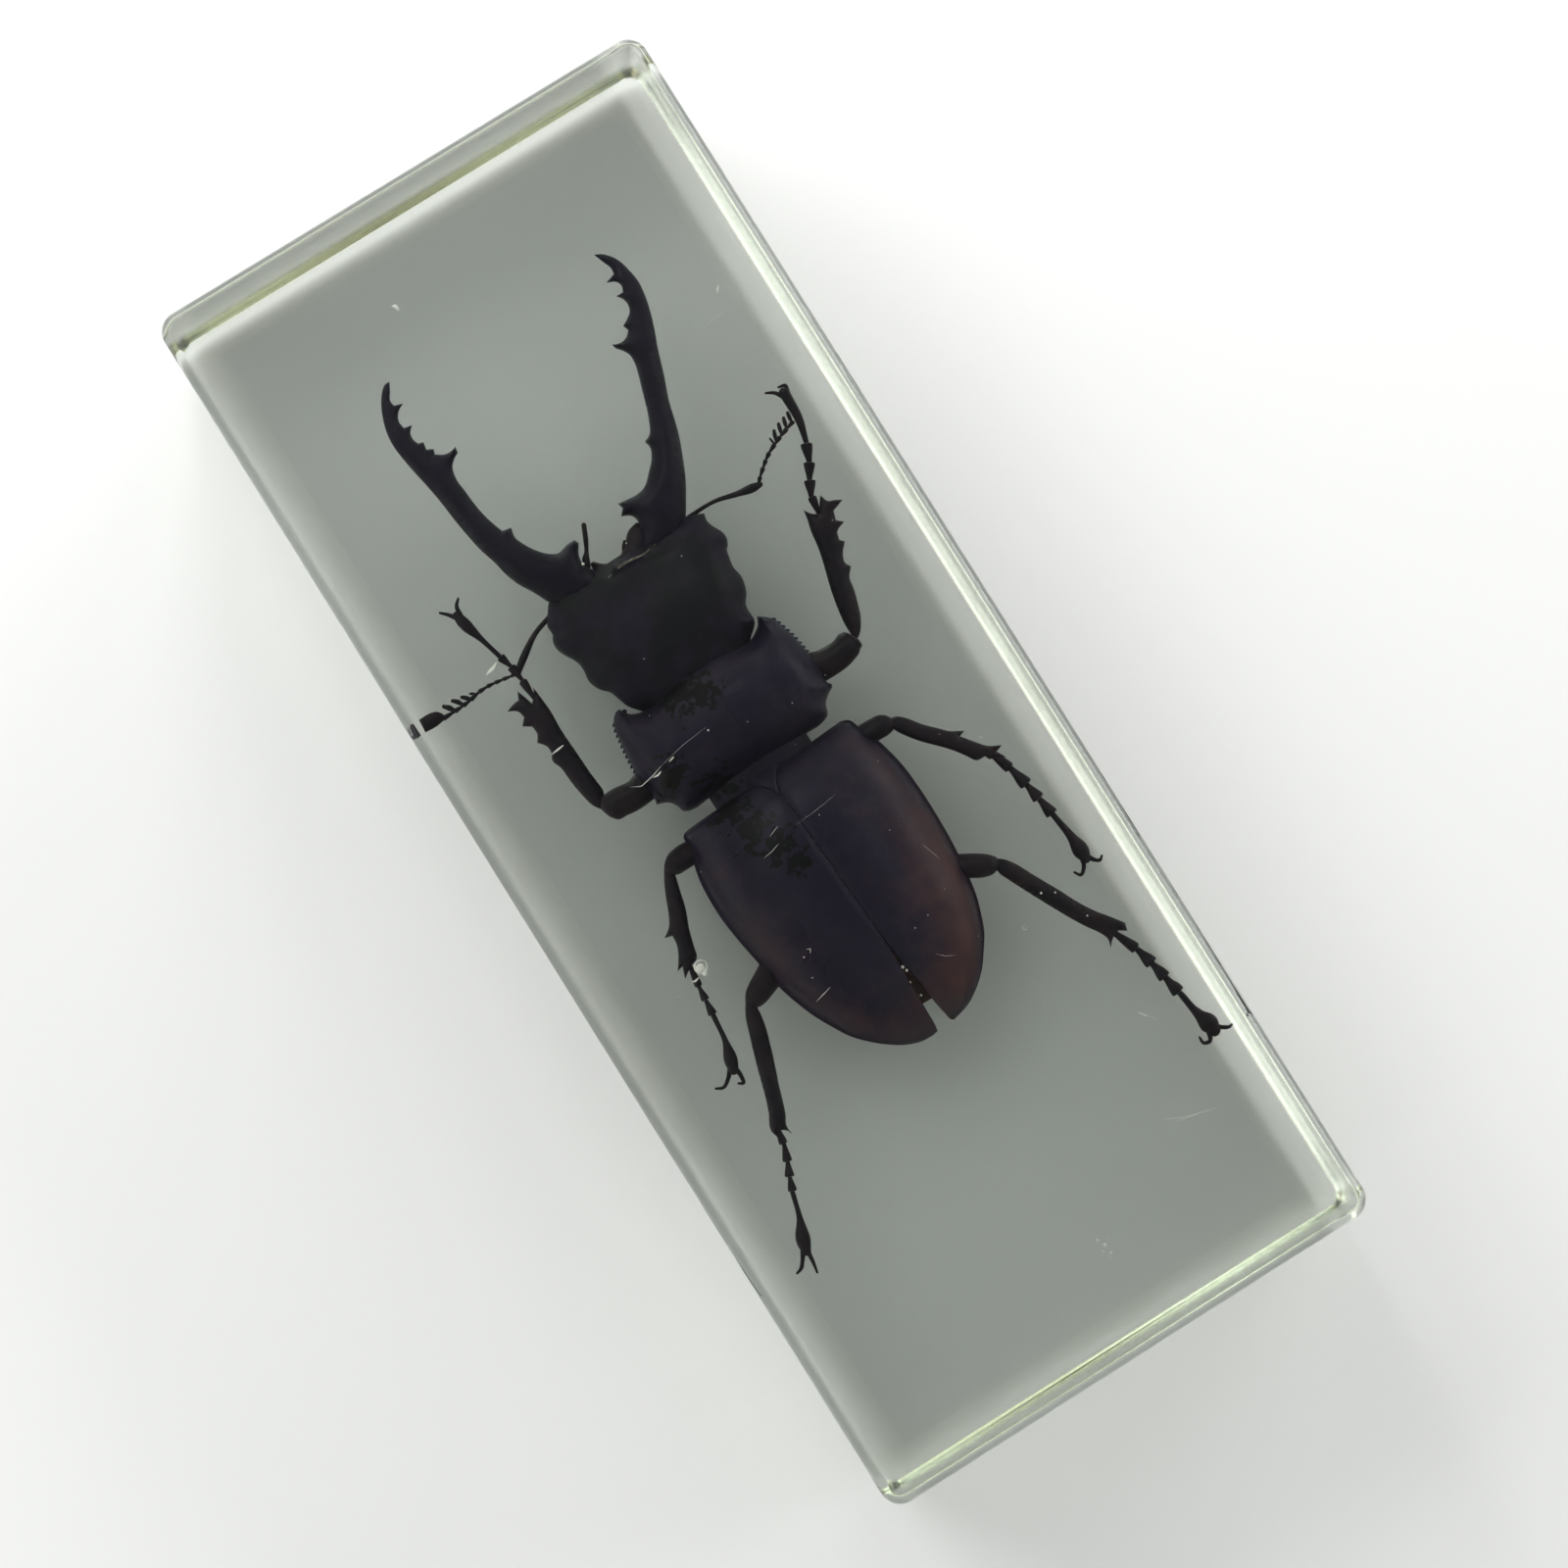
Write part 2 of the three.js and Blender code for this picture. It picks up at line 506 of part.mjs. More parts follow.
const hollowBlock = block().subtract(pocket());
const part = new THREE.Group();
part.add(mesh('resin_lower_half', hollowBlock.intersect(halfSpace(-1)), resin));
part.add(mesh('resin_upper_half', hollowBlock.intersect(halfSpace(1)), resin));
part.add(mesh('stag_beetle', beetle(), chitin));

export default part;
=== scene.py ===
# %% [markdown]
# # A stag beetle in a clear resin block
# The real object is one slab of clear cast resin, about as long as a hand is wide, with a dried
# stag beetle sealed at mid height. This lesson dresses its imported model, step by step. The frame
# comes first: everything below is built in the same place and at the same size as its solids.

# %% Loading the frame
import math

import bmesh
import bpy
import numpy as np
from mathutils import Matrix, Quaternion, Vector
from mathutils.geometry import delaunay_2d_cdt


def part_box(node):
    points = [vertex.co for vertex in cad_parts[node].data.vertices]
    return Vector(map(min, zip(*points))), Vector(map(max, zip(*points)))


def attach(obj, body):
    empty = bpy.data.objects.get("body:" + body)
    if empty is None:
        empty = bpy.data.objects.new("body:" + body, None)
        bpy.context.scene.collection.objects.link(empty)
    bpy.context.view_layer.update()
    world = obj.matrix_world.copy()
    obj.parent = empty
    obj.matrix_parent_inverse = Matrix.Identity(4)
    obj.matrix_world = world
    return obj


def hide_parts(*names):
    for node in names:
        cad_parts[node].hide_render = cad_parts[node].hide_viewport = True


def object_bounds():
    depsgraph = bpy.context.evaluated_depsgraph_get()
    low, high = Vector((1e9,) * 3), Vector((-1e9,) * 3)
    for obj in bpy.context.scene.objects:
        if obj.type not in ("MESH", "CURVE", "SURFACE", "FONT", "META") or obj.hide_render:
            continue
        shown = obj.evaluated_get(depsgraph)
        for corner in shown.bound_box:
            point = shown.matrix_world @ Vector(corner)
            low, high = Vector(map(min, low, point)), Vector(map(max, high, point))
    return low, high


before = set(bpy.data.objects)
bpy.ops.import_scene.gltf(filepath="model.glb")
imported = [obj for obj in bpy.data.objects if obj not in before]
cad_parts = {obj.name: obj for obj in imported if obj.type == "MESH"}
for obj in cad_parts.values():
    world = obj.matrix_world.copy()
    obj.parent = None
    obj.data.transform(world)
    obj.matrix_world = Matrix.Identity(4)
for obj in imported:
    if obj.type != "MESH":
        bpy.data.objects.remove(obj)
cad_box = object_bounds()
MM = 0.001  # the tables below are in millimetres, and Blender's meshes in metres
BLOCK_LOW, BLOCK_HIGH = (Vector(corner) / MM for corner in cad_box)
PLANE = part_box("resin_lower_half")[1].z / MM  # the beetle's sides and legs are spread here
print("block from", tuple(BLOCK_LOW), "to", tuple(BLOCK_HIGH), "mm, parted at", PLANE)

# %% [markdown]
# ## The camera
# A thing held in one hand is looked at from about a forearm away. A long lens at that distance
# keeps the block's sides almost parallel. The turn is given as one axis, whose length is the angle:
# nearly straight down, with the block leaning to the left.

# %% The camera
CAMERA_PLACE = (-16.1, -12.29, 319.01)
CAMERA_TURN = (2.766, -2.567, -31.985)  # degrees
LENS = 87.46

camera_data = bpy.data.cameras.new("camera")
camera_data.lens = LENS
camera_data.clip_start = 10 * MM
camera = bpy.data.objects.new("camera", camera_data)
turn_axis = Vector(CAMERA_TURN)
camera.location = Vector(CAMERA_PLACE) * MM
camera.rotation_mode = "QUATERNION"
camera.rotation_quaternion = Quaternion(turn_axis, math.radians(turn_axis.length))
bpy.context.scene.collection.objects.link(camera)
bpy.context.scene.camera = camera
print("camera", LENS, "mm lens,", round(camera.location.z / MM), "mm above the table")

# %% [markdown]
# ## Node helpers
# Every tree below, of geometry or of a material, is built with the same two helpers. One makes a
# tree with named inputs and outputs, and the other adds a node: an input that is given a socket
# is linked to it, and any other is set to the value.

# %% Trees and nodes
SOCKET_KINDS = {
    "geometry": "NodeSocketGeometry", "float": "NodeSocketFloat", "int": "NodeSocketInt",
    "vector": "NodeSocketVector", "colour": "NodeSocketColor", "material": "NodeSocketMaterial",
}


def new_tree(name, kind, inputs, outputs):
    """A node tree with inputs (name, kind, default) and outputs (name, kind)."""
    tree = bpy.data.node_groups.new(name, kind)
    for label, socket, default in inputs:
        made = tree.interface.new_socket(label, in_out="INPUT", socket_type=SOCKET_KINDS[socket])
        if default is not None:
            made.default_value = default
    for label, socket in outputs:
        tree.interface.new_socket(label, in_out="OUTPUT", socket_type=SOCKET_KINDS[socket])
    return tree, tree.nodes.new("NodeGroupInput").outputs, tree.nodes.new("NodeGroupOutput").inputs


def add(tree, kind, inputs=None, **settings):
    """Adds a node to a tree, with its settings and inputs."""
    node = tree.nodes.new(kind)
    for key, value in settings.items():
        setattr(node, key, value)
    for key, value in (inputs or {}).items():
        if isinstance(value, bpy.types.NodeSocket):
            tree.links.new(value, node.inputs[key])
        else:
            node.inputs[key].default_value = value
    return node


def math_node(tree, operation, *values):
    """The output of one sum."""
    node = add(tree, "ShaderNodeMath", dict(enumerate(values)), operation=operation)
    return node.outputs[0]


def remap(tree, value, low, high, to_low=0.0, to_high=1.0):
    """A value brought smoothly from one range to another."""
    node = add(tree, "ShaderNodeMapRange", {
        "Value": value, "From Min": low, "From Max": high, "To Min": to_low, "To Max": to_high,
    }, interpolation_type="SMOOTHSTEP")
    return node.outputs["Result"]


def blend_colours(tree, mask, first, second):
    """One colour where the mask is 0 and another where it is 1."""
    FACTOR, FIRST, SECOND, COLOUR = 0, 6, 7, 2
    node = add(tree, "ShaderNodeMix", {FACTOR: mask, FIRST: first, SECOND: second},
               data_type="RGBA")
    return node.outputs[COLOUR]


print("helpers ready for", ", ".join(SOCKET_KINDS))

# %% [markdown]
# ## How a beetle's shell looks
# Beetle shell is chitin: almost black, with a satin shine, covered in fine pits and a leathery
# grain between them. Dust and glue left by the mounting dull it in patches. One node group makes
# the pits and the patches for every part of the body, and each material sets its own sizes. The
# group reads the place on the beetle, so the grain has its real size everywhere.

# %% The shell's grain
grain, g_in, g_out = new_tree("shell grain", "ShaderNodeTree", [
    ("Place", "vector", None), ("Pit Spacing", "float", 0.0003), ("Patch Size", "float", 0.004),
], [("Height", "float"), ("Patches", "float")])
pits_per_metre = math_node(grain, "DIVIDE", 1.0, g_in["Pit Spacing"])
pits = add(grain, "ShaderNodeTexVoronoi", {"Vector": g_in["Place"], "Scale": pits_per_metre})
pit_floor = remap(grain, pits.outputs["Distance"], 0.1, 0.45)
leather = add(grain, "ShaderNodeTexNoise", {
    "Vector": g_in["Place"], "Scale": math_node(grain, "MULTIPLY", pits_per_metre, 2.2),
    "Detail": 3.0,
})
leather_part = math_node(grain, "MULTIPLY", leather.outputs["Fac"], 0.35)
grain.links.new(math_node(grain, "ADD", pit_floor, leather_part), g_out["Height"])
patches = add(grain, "ShaderNodeTexNoise", {
    "Vector": g_in["Place"], "Scale": math_node(grain, "DIVIDE", 1.0, g_in["Patch Size"]),
    "Detail": 4.0, "Roughness": 0.6,
})
grain.links.new(remap(grain, patches.outputs["Fac"], 0.42, 0.66), g_out["Patches"])
print("node group", grain.name, "with", len(grain.nodes), "nodes")

# %% A shell material
SHINE_IN_RESIN = 0.14  # resin bends light almost as much as shell does, so little is reflected


def shell(name, dark, light, pit_spacing, patch_size, roughness, pit_depth=0.03):
    """Shell of two close colours in patches, with pits of this spacing and depth in mm."""
    made = bpy.data.materials.new(name)
    made.use_nodes = True
    tree = made.node_tree
    shader = tree.nodes["Principled BSDF"]
    shader.inputs["Specular IOR Level"].default_value = SHINE_IN_RESIN
    place = add(tree, "ShaderNodeTexCoord").outputs["Object"]
    relief = add(tree, "ShaderNodeGroup", node_tree=grain)
    tree.links.new(place, relief.inputs["Place"])
    relief.inputs["Pit Spacing"].default_value = pit_spacing * MM
    relief.inputs["Patch Size"].default_value = patch_size * MM
    patchy = relief.outputs["Patches"]
    tree.links.new(blend_colours(tree, patchy, dark, light), shader.inputs["Base Color"])
    tree.links.new(remap(tree, patchy, 0.0, 1.0, roughness, roughness + 0.15),
                   shader.inputs["Roughness"])
    bump = add(tree, "ShaderNodeBump", {
        "Height": relief.outputs["Height"], "Distance": pit_depth * MM, "Strength": 0.6,
    })
    tree.links.new(bump.outputs["Normal"], shader.inputs["Normal"])
    return made


BLACK, DULL_BLACK = (0.0125, 0.0095, 0.0230, 1), (0.021, 0.017, 0.029, 1)
# The jaws and the head get darker copies of the body's shell colours: painted shade that holds back
# the extra light their slopes catch.
JAW_SHADED_BLACK, JAW_SHADED_DULL = (0.006, 0.0048, 0.012, 1), (0.009, 0.007, 0.016, 1)
HEAD_SHADED_BLACK, HEAD_SHADED_DULL = (0.0046, 0.0046, 0.0066, 1), (0.0125, 0.0095, 0.0210, 1)
LEG_BLACK, LEG_BROWN = (0.009, 0.0062, 0.0098, 1), (0.0175, 0.0105, 0.0135, 1)
# The belly's browns are its real colour raised in brightness: painted light that lifts the tail out
# of the shade in the gap between the wing cases.
LIT_BELLY_BROWN, LIT_RUST = (0.035, 0.020, 0.015, 1), (0.15, 0.070, 0.042, 1)
# The lip joint's skin is pale, and painted paler than skin so that it also stands in for the glint
# of the ridge behind the lip: partly a painted highlight.
GLINT_SKIN_BROWN, GLINT_SKIN_PALE = (0.13, 0.11, 0.09, 1), (0.30, 0.26, 0.22, 1)
EYE_BLACK, EYE_BROWN = (0.012, 0.008, 0.006, 1), (0.02, 0.014, 0.01, 1)

body_shell = shell("body shell", BLACK, DULL_BLACK, 0.16, 5.0, 0.42, 0.012)
shaded_jaw_shell = shell("painted-shade jaw shell", JAW_SHADED_BLACK, JAW_SHADED_DULL, 0.2, 3.0, 0.4, 0.01)
shaded_head_shell = shell("painted-shade head shell", HEAD_SHADED_BLACK, HEAD_SHADED_DULL, 0.16, 5.0, 0.48, 0.012)
leg_shell = shell("leg shell", LEG_BLACK, LEG_BROWN, 0.18, 2.5, 0.36, 0.012)
lit_belly_shell = shell("painted-light belly shell", LIT_BELLY_BROWN, LIT_RUST, 0.2, 2.0, 0.45, 0.015)
skin_and_glint = shell("pale skin and painted glint", GLINT_SKIN_BROWN, GLINT_SKIN_PALE, 0.1, 0.6, 0.5)
eye_shell = shell("eye", EYE_BLACK, EYE_BROWN, 0.09, 0.5, 0.22, 0.02)
print("shell materials:", [m.name for m in bpy.data.materials if m.name.endswith("shell")])

# %% [markdown]
# The wing cases are black along their seam and turn dark red-brown towards their sides and tail,
# where the shell is thinner, and their rims are black again. The mask is worked out from the
# place: how far a point is from the seam, how far back, and how high above the rim.

# %% The wing cases' material
BLACKEST_X = -0.7  # the left case stayed darker than the right one
CASE_HALF_WIDTH = 9.4
REDDER_BACK = (-5, -19, 0.5, 1.35)  # from y, to y, and the share of red at each
REDDER_TAIL = (-18, -25, 0.0, 0.75)
BLACK_RIM = (0.3, 2.4, 0.2, 1.0)  # heights above the rim, and the share of red at each
RED_BROWN = (0.072, 0.033, 0.034, 1)


def place_remap(tree, value, low, high, to_low, to_high):
    """A place along one axis, in millimetres, brought to a range of shares."""
    return remap(tree, value, low * MM, high * MM, to_low, to_high)


def redden(material, low_mask, high_mask, red):
    """Turns a shell's colour towards red at the sides and tail, but keeps it black low down at its
    rim.
    """
    tree = material.node_tree
    shader = tree.nodes["Principled BSDF"]
    black_part = shader.inputs["Base Color"].links[0].from_socket
    place = add(tree, "ShaderNodeTexCoord").outputs["Object"]
    along = add(tree, "ShaderNodeSeparateXYZ", {"Vector": place}).outputs
    aside = math_node(tree, "ABSOLUTE", math_node(tree, "SUBTRACT", along["X"], BLACKEST_X * MM))
    out_to_side = math_node(tree, "DIVIDE", aside, CASE_HALF_WIDTH * MM)
    back = place_remap(tree, along["Y"], *REDDER_BACK)
    sideways = math_node(tree, "MULTIPLY", math_node(tree, "POWER", out_to_side, 1.7), back)
    at_tail = place_remap(tree, along["Y"], *REDDER_TAIL)
    amount = math_node(tree, "ADD", sideways, at_tail)
    breakup = add(tree, "ShaderNodeTexNoise", {"Vector": place, "Scale": 450.0, "Detail": 4.0})
    uneven = math_node(tree, "ADD", amount, remap(tree, breakup.outputs["Fac"], 0, 1, -0.35, 0.35))
    low, high, *shares = BLACK_RIM
    off_rim = place_remap(tree, along["Z"], PLANE + low, PLANE + high, *shares)
    mask = math_node(tree, "MULTIPLY", remap(tree, uneven, low_mask, high_mask), off_rim)
    tree.links.new(blend_colours(tree, mask, black_part, red), shader.inputs["Base Color"])


case_shell = shell("wing case shell", BLACK, DULL_BLACK, 0.15, 6.0, 0.36, 0.008)
redden(case_shell, 0.1, 1.4, RED_BROWN)
print("wing cases:", len(case_shell.node_tree.nodes), "nodes")

# %% [markdown]
# Moisture under the shell left a few stains, blacker than the rest and torn at their edges. A
# stain is a mask round a place on the back, pulled out of shape by noise.

# %% Stains
STAIN = (0.0014, 0.0017, 0.0016, 1)


def stain(material, places):
    """Blackens a shell round each x, y and radius in millimetres."""
    tree = material.node_tree
    shader = tree.nodes["Principled BSDF"]
    colour = shader.inputs["Base Color"].links[0].from_socket
    place = add(tree, "ShaderNodeTexCoord").outputs["Object"]
    flat = add(tree, "ShaderNodeVectorMath", {0: place, 1: (1, 1, 0)}, operation="MULTIPLY")
    torn = add(tree, "ShaderNodeTexNoise", {"Vector": place, "Scale": 1500.0, "Detail": 6.0})
    for x, y, radius in places:
        away = add(tree, "ShaderNodeVectorMath", {
            0: flat.outputs["Vector"], 1: (x * MM, y * MM, 0),
        }, operation="DISTANCE").outputs["Value"]
        ragged = math_node(tree, "ADD", math_node(tree, "DIVIDE", away, radius * MM), remap(
            tree, torn.outputs["Fac"], 0.2, 0.8, -0.9, 0.9))
        colour = blend_colours(tree, remap(tree, ragged, 0.95, 0.65), colour, STAIN)
    tree.links.new(colour, shader.inputs["Base Color"])


stain(body_shell, [(-2.2, 8.6, 2.1), (-0.8, 7.6, 1.3), (-6.6, 3.2, 1.6), (-3.3, 0.6, 1.4)])
stain(case_shell, [(-3.9, -1.8, 1.7), (-3.3, -4.0, 1.7), (-2.3, -6.0, 1.6), (-1.5, -8.0, 1.1)])
print("stains on", body_shell.name, "and", case_shell.name)

# %% [markdown]
# ## Skins and pillows
# Two ideas make almost all of this insect. A skin is stretched over a row of stations, each with a
# left and a right point and a height above and below: legs, feelers and wing cases are made so.
# A pillow is blown up over a closed outline, higher the further a point is from the edge: this
# keeps every tooth and notch of a flat part such as a jaw or the head. Either way the tables give
# only the points that the shape needs, and a smooth curve goes through them.

# %% Smooth curves
def smooth(rows, steps, closed=False, corner=180):
    """The rows of a table, with more rows between them on a curve that passes through each.

    A point where an outline turns by more than the corner angle stays sharp.
    """
    rows = np.array(rows, float)
    if closed:
        rows = np.vstack([rows[-1:], rows, rows[:2]])
    middles = rows[:, :2] if rows.shape[1] < 5 else (rows[:, :2] + rows[:, 2:4]) / 2
    steps_along = np.diff(middles, axis=0)
    gaps = np.linalg.norm(steps_along, axis=1)[:, None]
    slopes = np.diff(rows, axis=0) / gaps
    shared = (slopes[1:] * gaps[:-1] + slopes[:-1] * gaps[1:]) / (gaps[1:] + gaps[:-1])
    turns = np.sum(steps_along[1:] * steps_along[:-1], axis=1) / (gaps[1:] * gaps[:-1])[:, 0]
    sharp = turns < math.cos(math.radians(corner)) - 1e-9
    made = []
    first, last = (1, len(gaps) - 1) if closed else (0, len(gaps))
    for i in range(first, last):
        leaving = slopes[i] if i == 0 or sharp[i - 1] else shared[i - 1]
        arriving = slopes[i] if i == len(gaps) - 1 or sharp[i] else shared[i]
        for t in np.arange(steps) / steps:
            made.append(
                (2 * t**3 - 3 * t**2 + 1) * rows[i] + (3 * t**2 - 2 * t**3) * rows[i + 1]
                + gaps[i] * ((t**3 - 2 * t**2 + t) * leaving + (t**3 - t**2) * arriving))
    return np.array(made if closed else made + [rows[-1]])


def oval(sides, flatten_top=1.0, flatten_sides=1.0):
    """A section's outline: how far across from left to right, and how far up or down."""
    angles = np.arange(sides) * 2 * math.pi / sides
    across, rise = np.cos(angles), np.sin(angles)
    return np.column_stack([
        0.5 + 0.5 * np.sign(across) * np.abs(across) ** flatten_sides,
        np.sign(rise) * np.abs(rise) ** flatten_top,
    ])


print("a curve through 3 rows:", len(smooth([[0, 0, 1], [1, 1, 1], [2, 0, 1]], 4)), "rows")


# %% A skin over stations
def skin(left, right, up, down, depth=0.0, section=oval(28)):
    """Points and faces of a closed skin, in millimetres."""
    count, sides = len(left), len(section)
    across, rise = np.asarray(section).T
    depth = np.broadcast_to(depth, count)
    points = np.empty((count, sides, 3))
    span = (right - left)[:, None, :]
    points[..., :2] = left[:, None, :] + span * across[None, :, None]
    heights = np.where(rise > 0, up[:, None], down[:, None]) * rise
    points[..., 2] = PLANE - depth[:, None] + heights
    ends = points[[0, -1]].mean(axis=1)
    faces = [(i * sides + j, i * sides + (j + 1) % sides,
              (i + 1) * sides + (j + 1) % sides, (i + 1) * sides + j)
             for i in range(count - 1) for j in range(sides)]
    first, last = count * sides, count * sides + 1
    faces += [(first, (j + 1) % sides, j) for j in range(sides)]
    faces += [(last, last - 1 - sides + j, last - 1 - sides + (j + 1) % sides)
              for j in range(sides)]
    return np.vstack([points.reshape(-1, 3), ends]), faces


def row_skin(rows, steps=6, section=oval(48), depth=0.0):
    """A skin from rows of left x, left y, right x, right y, up, down and perhaps depth."""
    full = smooth(rows, steps)
    if full.shape[1] > 6:
        depth = full[:, 6]
    return skin(full[:, :2], full[:, 2:4], full[:, 4], full[:, 5], depth, section)


# %% A tube along a path
ROUND_END = np.radians([85, 65, 45, 22])


def tube(path, steps=6, sides=16, flatness=0.9, depth=0.0):
    """A skin from points of x, y, width and depth below the sides, with round ends."""
    rows = np.array([list(row) + [0.0] * (4 - len(row)) for row in path], float)
    rows = smooth(rows, steps)
    middles, widths, low = rows[:, :2], rows[:, 2], rows[:, 3]
    ahead = np.gradient(middles, axis=0)
    ahead /= np.linalg.norm(ahead, axis=1)[:, None]

    def cap(end, sign):
        out = np.sin(ROUND_END)[:, None] * widths[end] / 2 * sign
        return middles[end] + out * ahead[end], np.cos(ROUND_END) * widths[end]

    (front, front_width), (back, back_width) = cap(0, -1), cap(-1, 1)
    middles = np.vstack([front, middles, back[::-1]])
    half = np.concatenate([front_width, widths, back_width[::-1]]) / 2
    caps = len(ROUND_END)
    low = np.concatenate([np.full(caps, low[0]), low, np.full(caps, low[-1])])
    ahead = np.vstack([np.tile(ahead[0], (caps, 1)), ahead, np.tile(ahead[-1], (caps, 1))])
    aside = np.column_stack([ahead[:, 1], -ahead[:, 0]]) * half[:, None]
    return skin(middles - aside, middles + aside, half * flatness, half * flatness,
                low + depth, oval(sides))


print("a straight tube:", len(tube([[0, 0, 1], [3, 0, 1]])[0]), "points")


# %% A pillow over an outline
def edge_distance(points, outline):
    """How far each point is inside an outline, and below 0 outside it."""
    start, step = outline, np.roll(outline, -1, axis=0) - outline
    away = points[:, None, :] - start[None]
    share = np.clip(np.sum(away * step, axis=2) / np.sum(step * step, axis=1), 0, 1)
    nearest = np.linalg.norm(away - share[..., None] * step, axis=2).min(axis=1)
    x, y = points[:, 0:1], points[:, 1:2]
    x0, y0 = outline.T
    x1, y1 = np.roll(outline, -1, axis=0).T
    crosses = ((y0 > y) != (y1 > y)) & (
        x < (x1 - x0) * (y - y0) / np.where(y1 == y0, 1e-9, y1 - y0) + x0)
    return np.where(crosses.sum(axis=1) % 2 == 1, nearest, -nearest)


def inner_points(outline, edge, spacing):
    """Rings of points close inside an outline, and an even field of them further in."""
    RINGS = (0.035, 0.11, 0.24)
    ahead = np.roll(outline, -1, axis=0) - np.roll(outline, 1, axis=0)
    inward = np.column_stack([-ahead[:, 1], ahead[:, 0]])
    inward /= np.maximum(np.linalg.norm(inward, axis=1), 1e-9)[:, None]
    found = []
    for share in RINGS:
        inset = share * edge
        for side in (1, -1):
            ring = outline + side * inset * inward
            found.append(ring[edge_distance(ring, outline) > 0.97 * inset])
    low, high = outline.min(axis=0), outline.max(axis=0)
    columns = np.arange(low[0], high[0], spacing)
    rows = np.arange(low[1], high[1], spacing * 0.866)
    field = np.array([(x + (i % 2) * spacing / 2, y) for i, y in enumerate(rows) for x in columns])
    found.append(field[edge_distance(field, outline) > RINGS[-1] * edge + 0.4 * spacing])
    return np.vstack(found)


def pillow(outline, heights, edge, spacing=0.3, steps=3, evening=6):
    """A closed surface blown up over an outline, in millimetres.

    Heights are rows of y, height above and depth below. The edge is how far in it levels out.
    """
    outline = smooth(outline, steps, closed=True, corner=50)
    inside = inner_points(outline, edge, spacing)
    flat = [Vector(p) for p in np.vstack([outline, inside])]
    made = delaunay_2d_cdt(flat, [], [list(range(len(outline)))], 1, 1e-5)
    points = np.array([tuple(p) for p in made[0]])
    faces = [tuple(face) for face in made[2]]
    links = np.array(made[1])
    away = np.maximum(edge_distance(points, outline), 0)
    rim = away < 1e-4
    level = np.sqrt(1 - (1 - np.minimum(away / edge, 1)) ** 2)
    count = np.bincount(links.ravel(), minlength=len(points))
    for _ in range(evening):
        total = np.zeros(len(points))
        np.add.at(total, links[:, 0], level[links[:, 1]])
        np.add.at(total, links[:, 1], level[links[:, 0]])
        even = total / np.maximum(count, 1)
        level = np.where(away < 0.3 * edge, level, (level + even) / 2)
    level[rim] = 0
    key, up, down = np.array(sorted(heights)).T
    top = np.column_stack([points, PLANE + level * np.interp(points[:, 1], key, up)])
    low = np.column_stack([points, PLANE - level * np.interp(points[:, 1], key, down)])
    below = np.where(rim, np.arange(len(points)), np.cumsum(~rim) - 1 + len(points))
    faces += [tuple(int(below[v]) for v in reversed(face)) for face in faces]
    return np.vstack([top, low[~rim]]), faces


print("pillow over a square:", len(pillow([[0, 0], [4, 0], [4, 4], [0, 4]], [[0, 1, 1]], 1)[0]))


# %% [markdown]
# ## Pieces
# A beetle's body grew as one, but its plates are separate shells that meet at seams, so each
# plate is a piece here. Overlapping skins inside one piece, such as a thigh and a shin, are
# joined by the solid boolean, so that every piece is one clean closed surface.

# %% Making a piece
pieces = []


def put_in(name, data):
    """An object in the scene, at the origin."""
    made = bpy.data.objects.new(name, data)
    bpy.context.scene.collection.objects.link(made)
    return made


def mesh_from(name, points, faces):
    """A mesh in metres, with its faces turned outwards."""
    mesh = bpy.data.meshes.new(name)
    mesh.from_pydata([tuple(p) for p in np.asarray(points) * MM], [], faces)
    work = bmesh.new()
    work.from_mesh(mesh)
    bmesh.ops.recalc_face_normals(work, faces=work.faces)
    work.to_mesh(mesh)
    work.free()
    return mesh


def join_skins(name, skins):
    """One object whose skins are joined into one closed surface."""
    whole, *others = [put_in(name, mesh_from(name, points, faces)) for points, faces in skins]
    for other in others:
        union = whole.modifiers.new("join", "BOOLEAN")
        union.operation = "UNION"
        union.solver = "MANIFOLD"
        union.object = other
    depsgraph = bpy.context.evaluated_depsgraph_get()
    joined = bpy.data.meshes.new_from_object(whole.evaluated_get(depsgraph))
    whole.modifiers.clear()
    whole.data = joined
    for other in others:
        bpy.data.objects.remove(other)
    return whole


def finish_piece(piece, material, slot, *nodes, sharp=40):
    """Shades a piece, gives it its finish and places it in the frame."""
    piece.data.name = piece.name
    piece.data.materials.clear()
    piece.data.materials.append(material)
    piece.data.shade_smooth()
    piece.data.set_sharp_from_angle(angle=math.radians(sharp))
    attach(piece, "root")
    if nodes:
        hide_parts(*nodes)
    pieces.append(piece)
    print(f"{piece.name}: {len(piece.data.polygons)} faces")
    return piece


def beetle_piece(name, skins, material):
    return finish_piece(join_skins(name, skins), material, "chitin", "stag_beetle")


# %% [markdown]
# ## Head
# A male stag beetle's head is a broad flat box that holds the muscles of its jaws. Its front
# corners bulge, the eyes sit in the sides behind them, and a lip plate closes the front. It is a
# pillow over its outline, which ends in the neck, hidden inside the chest shield.

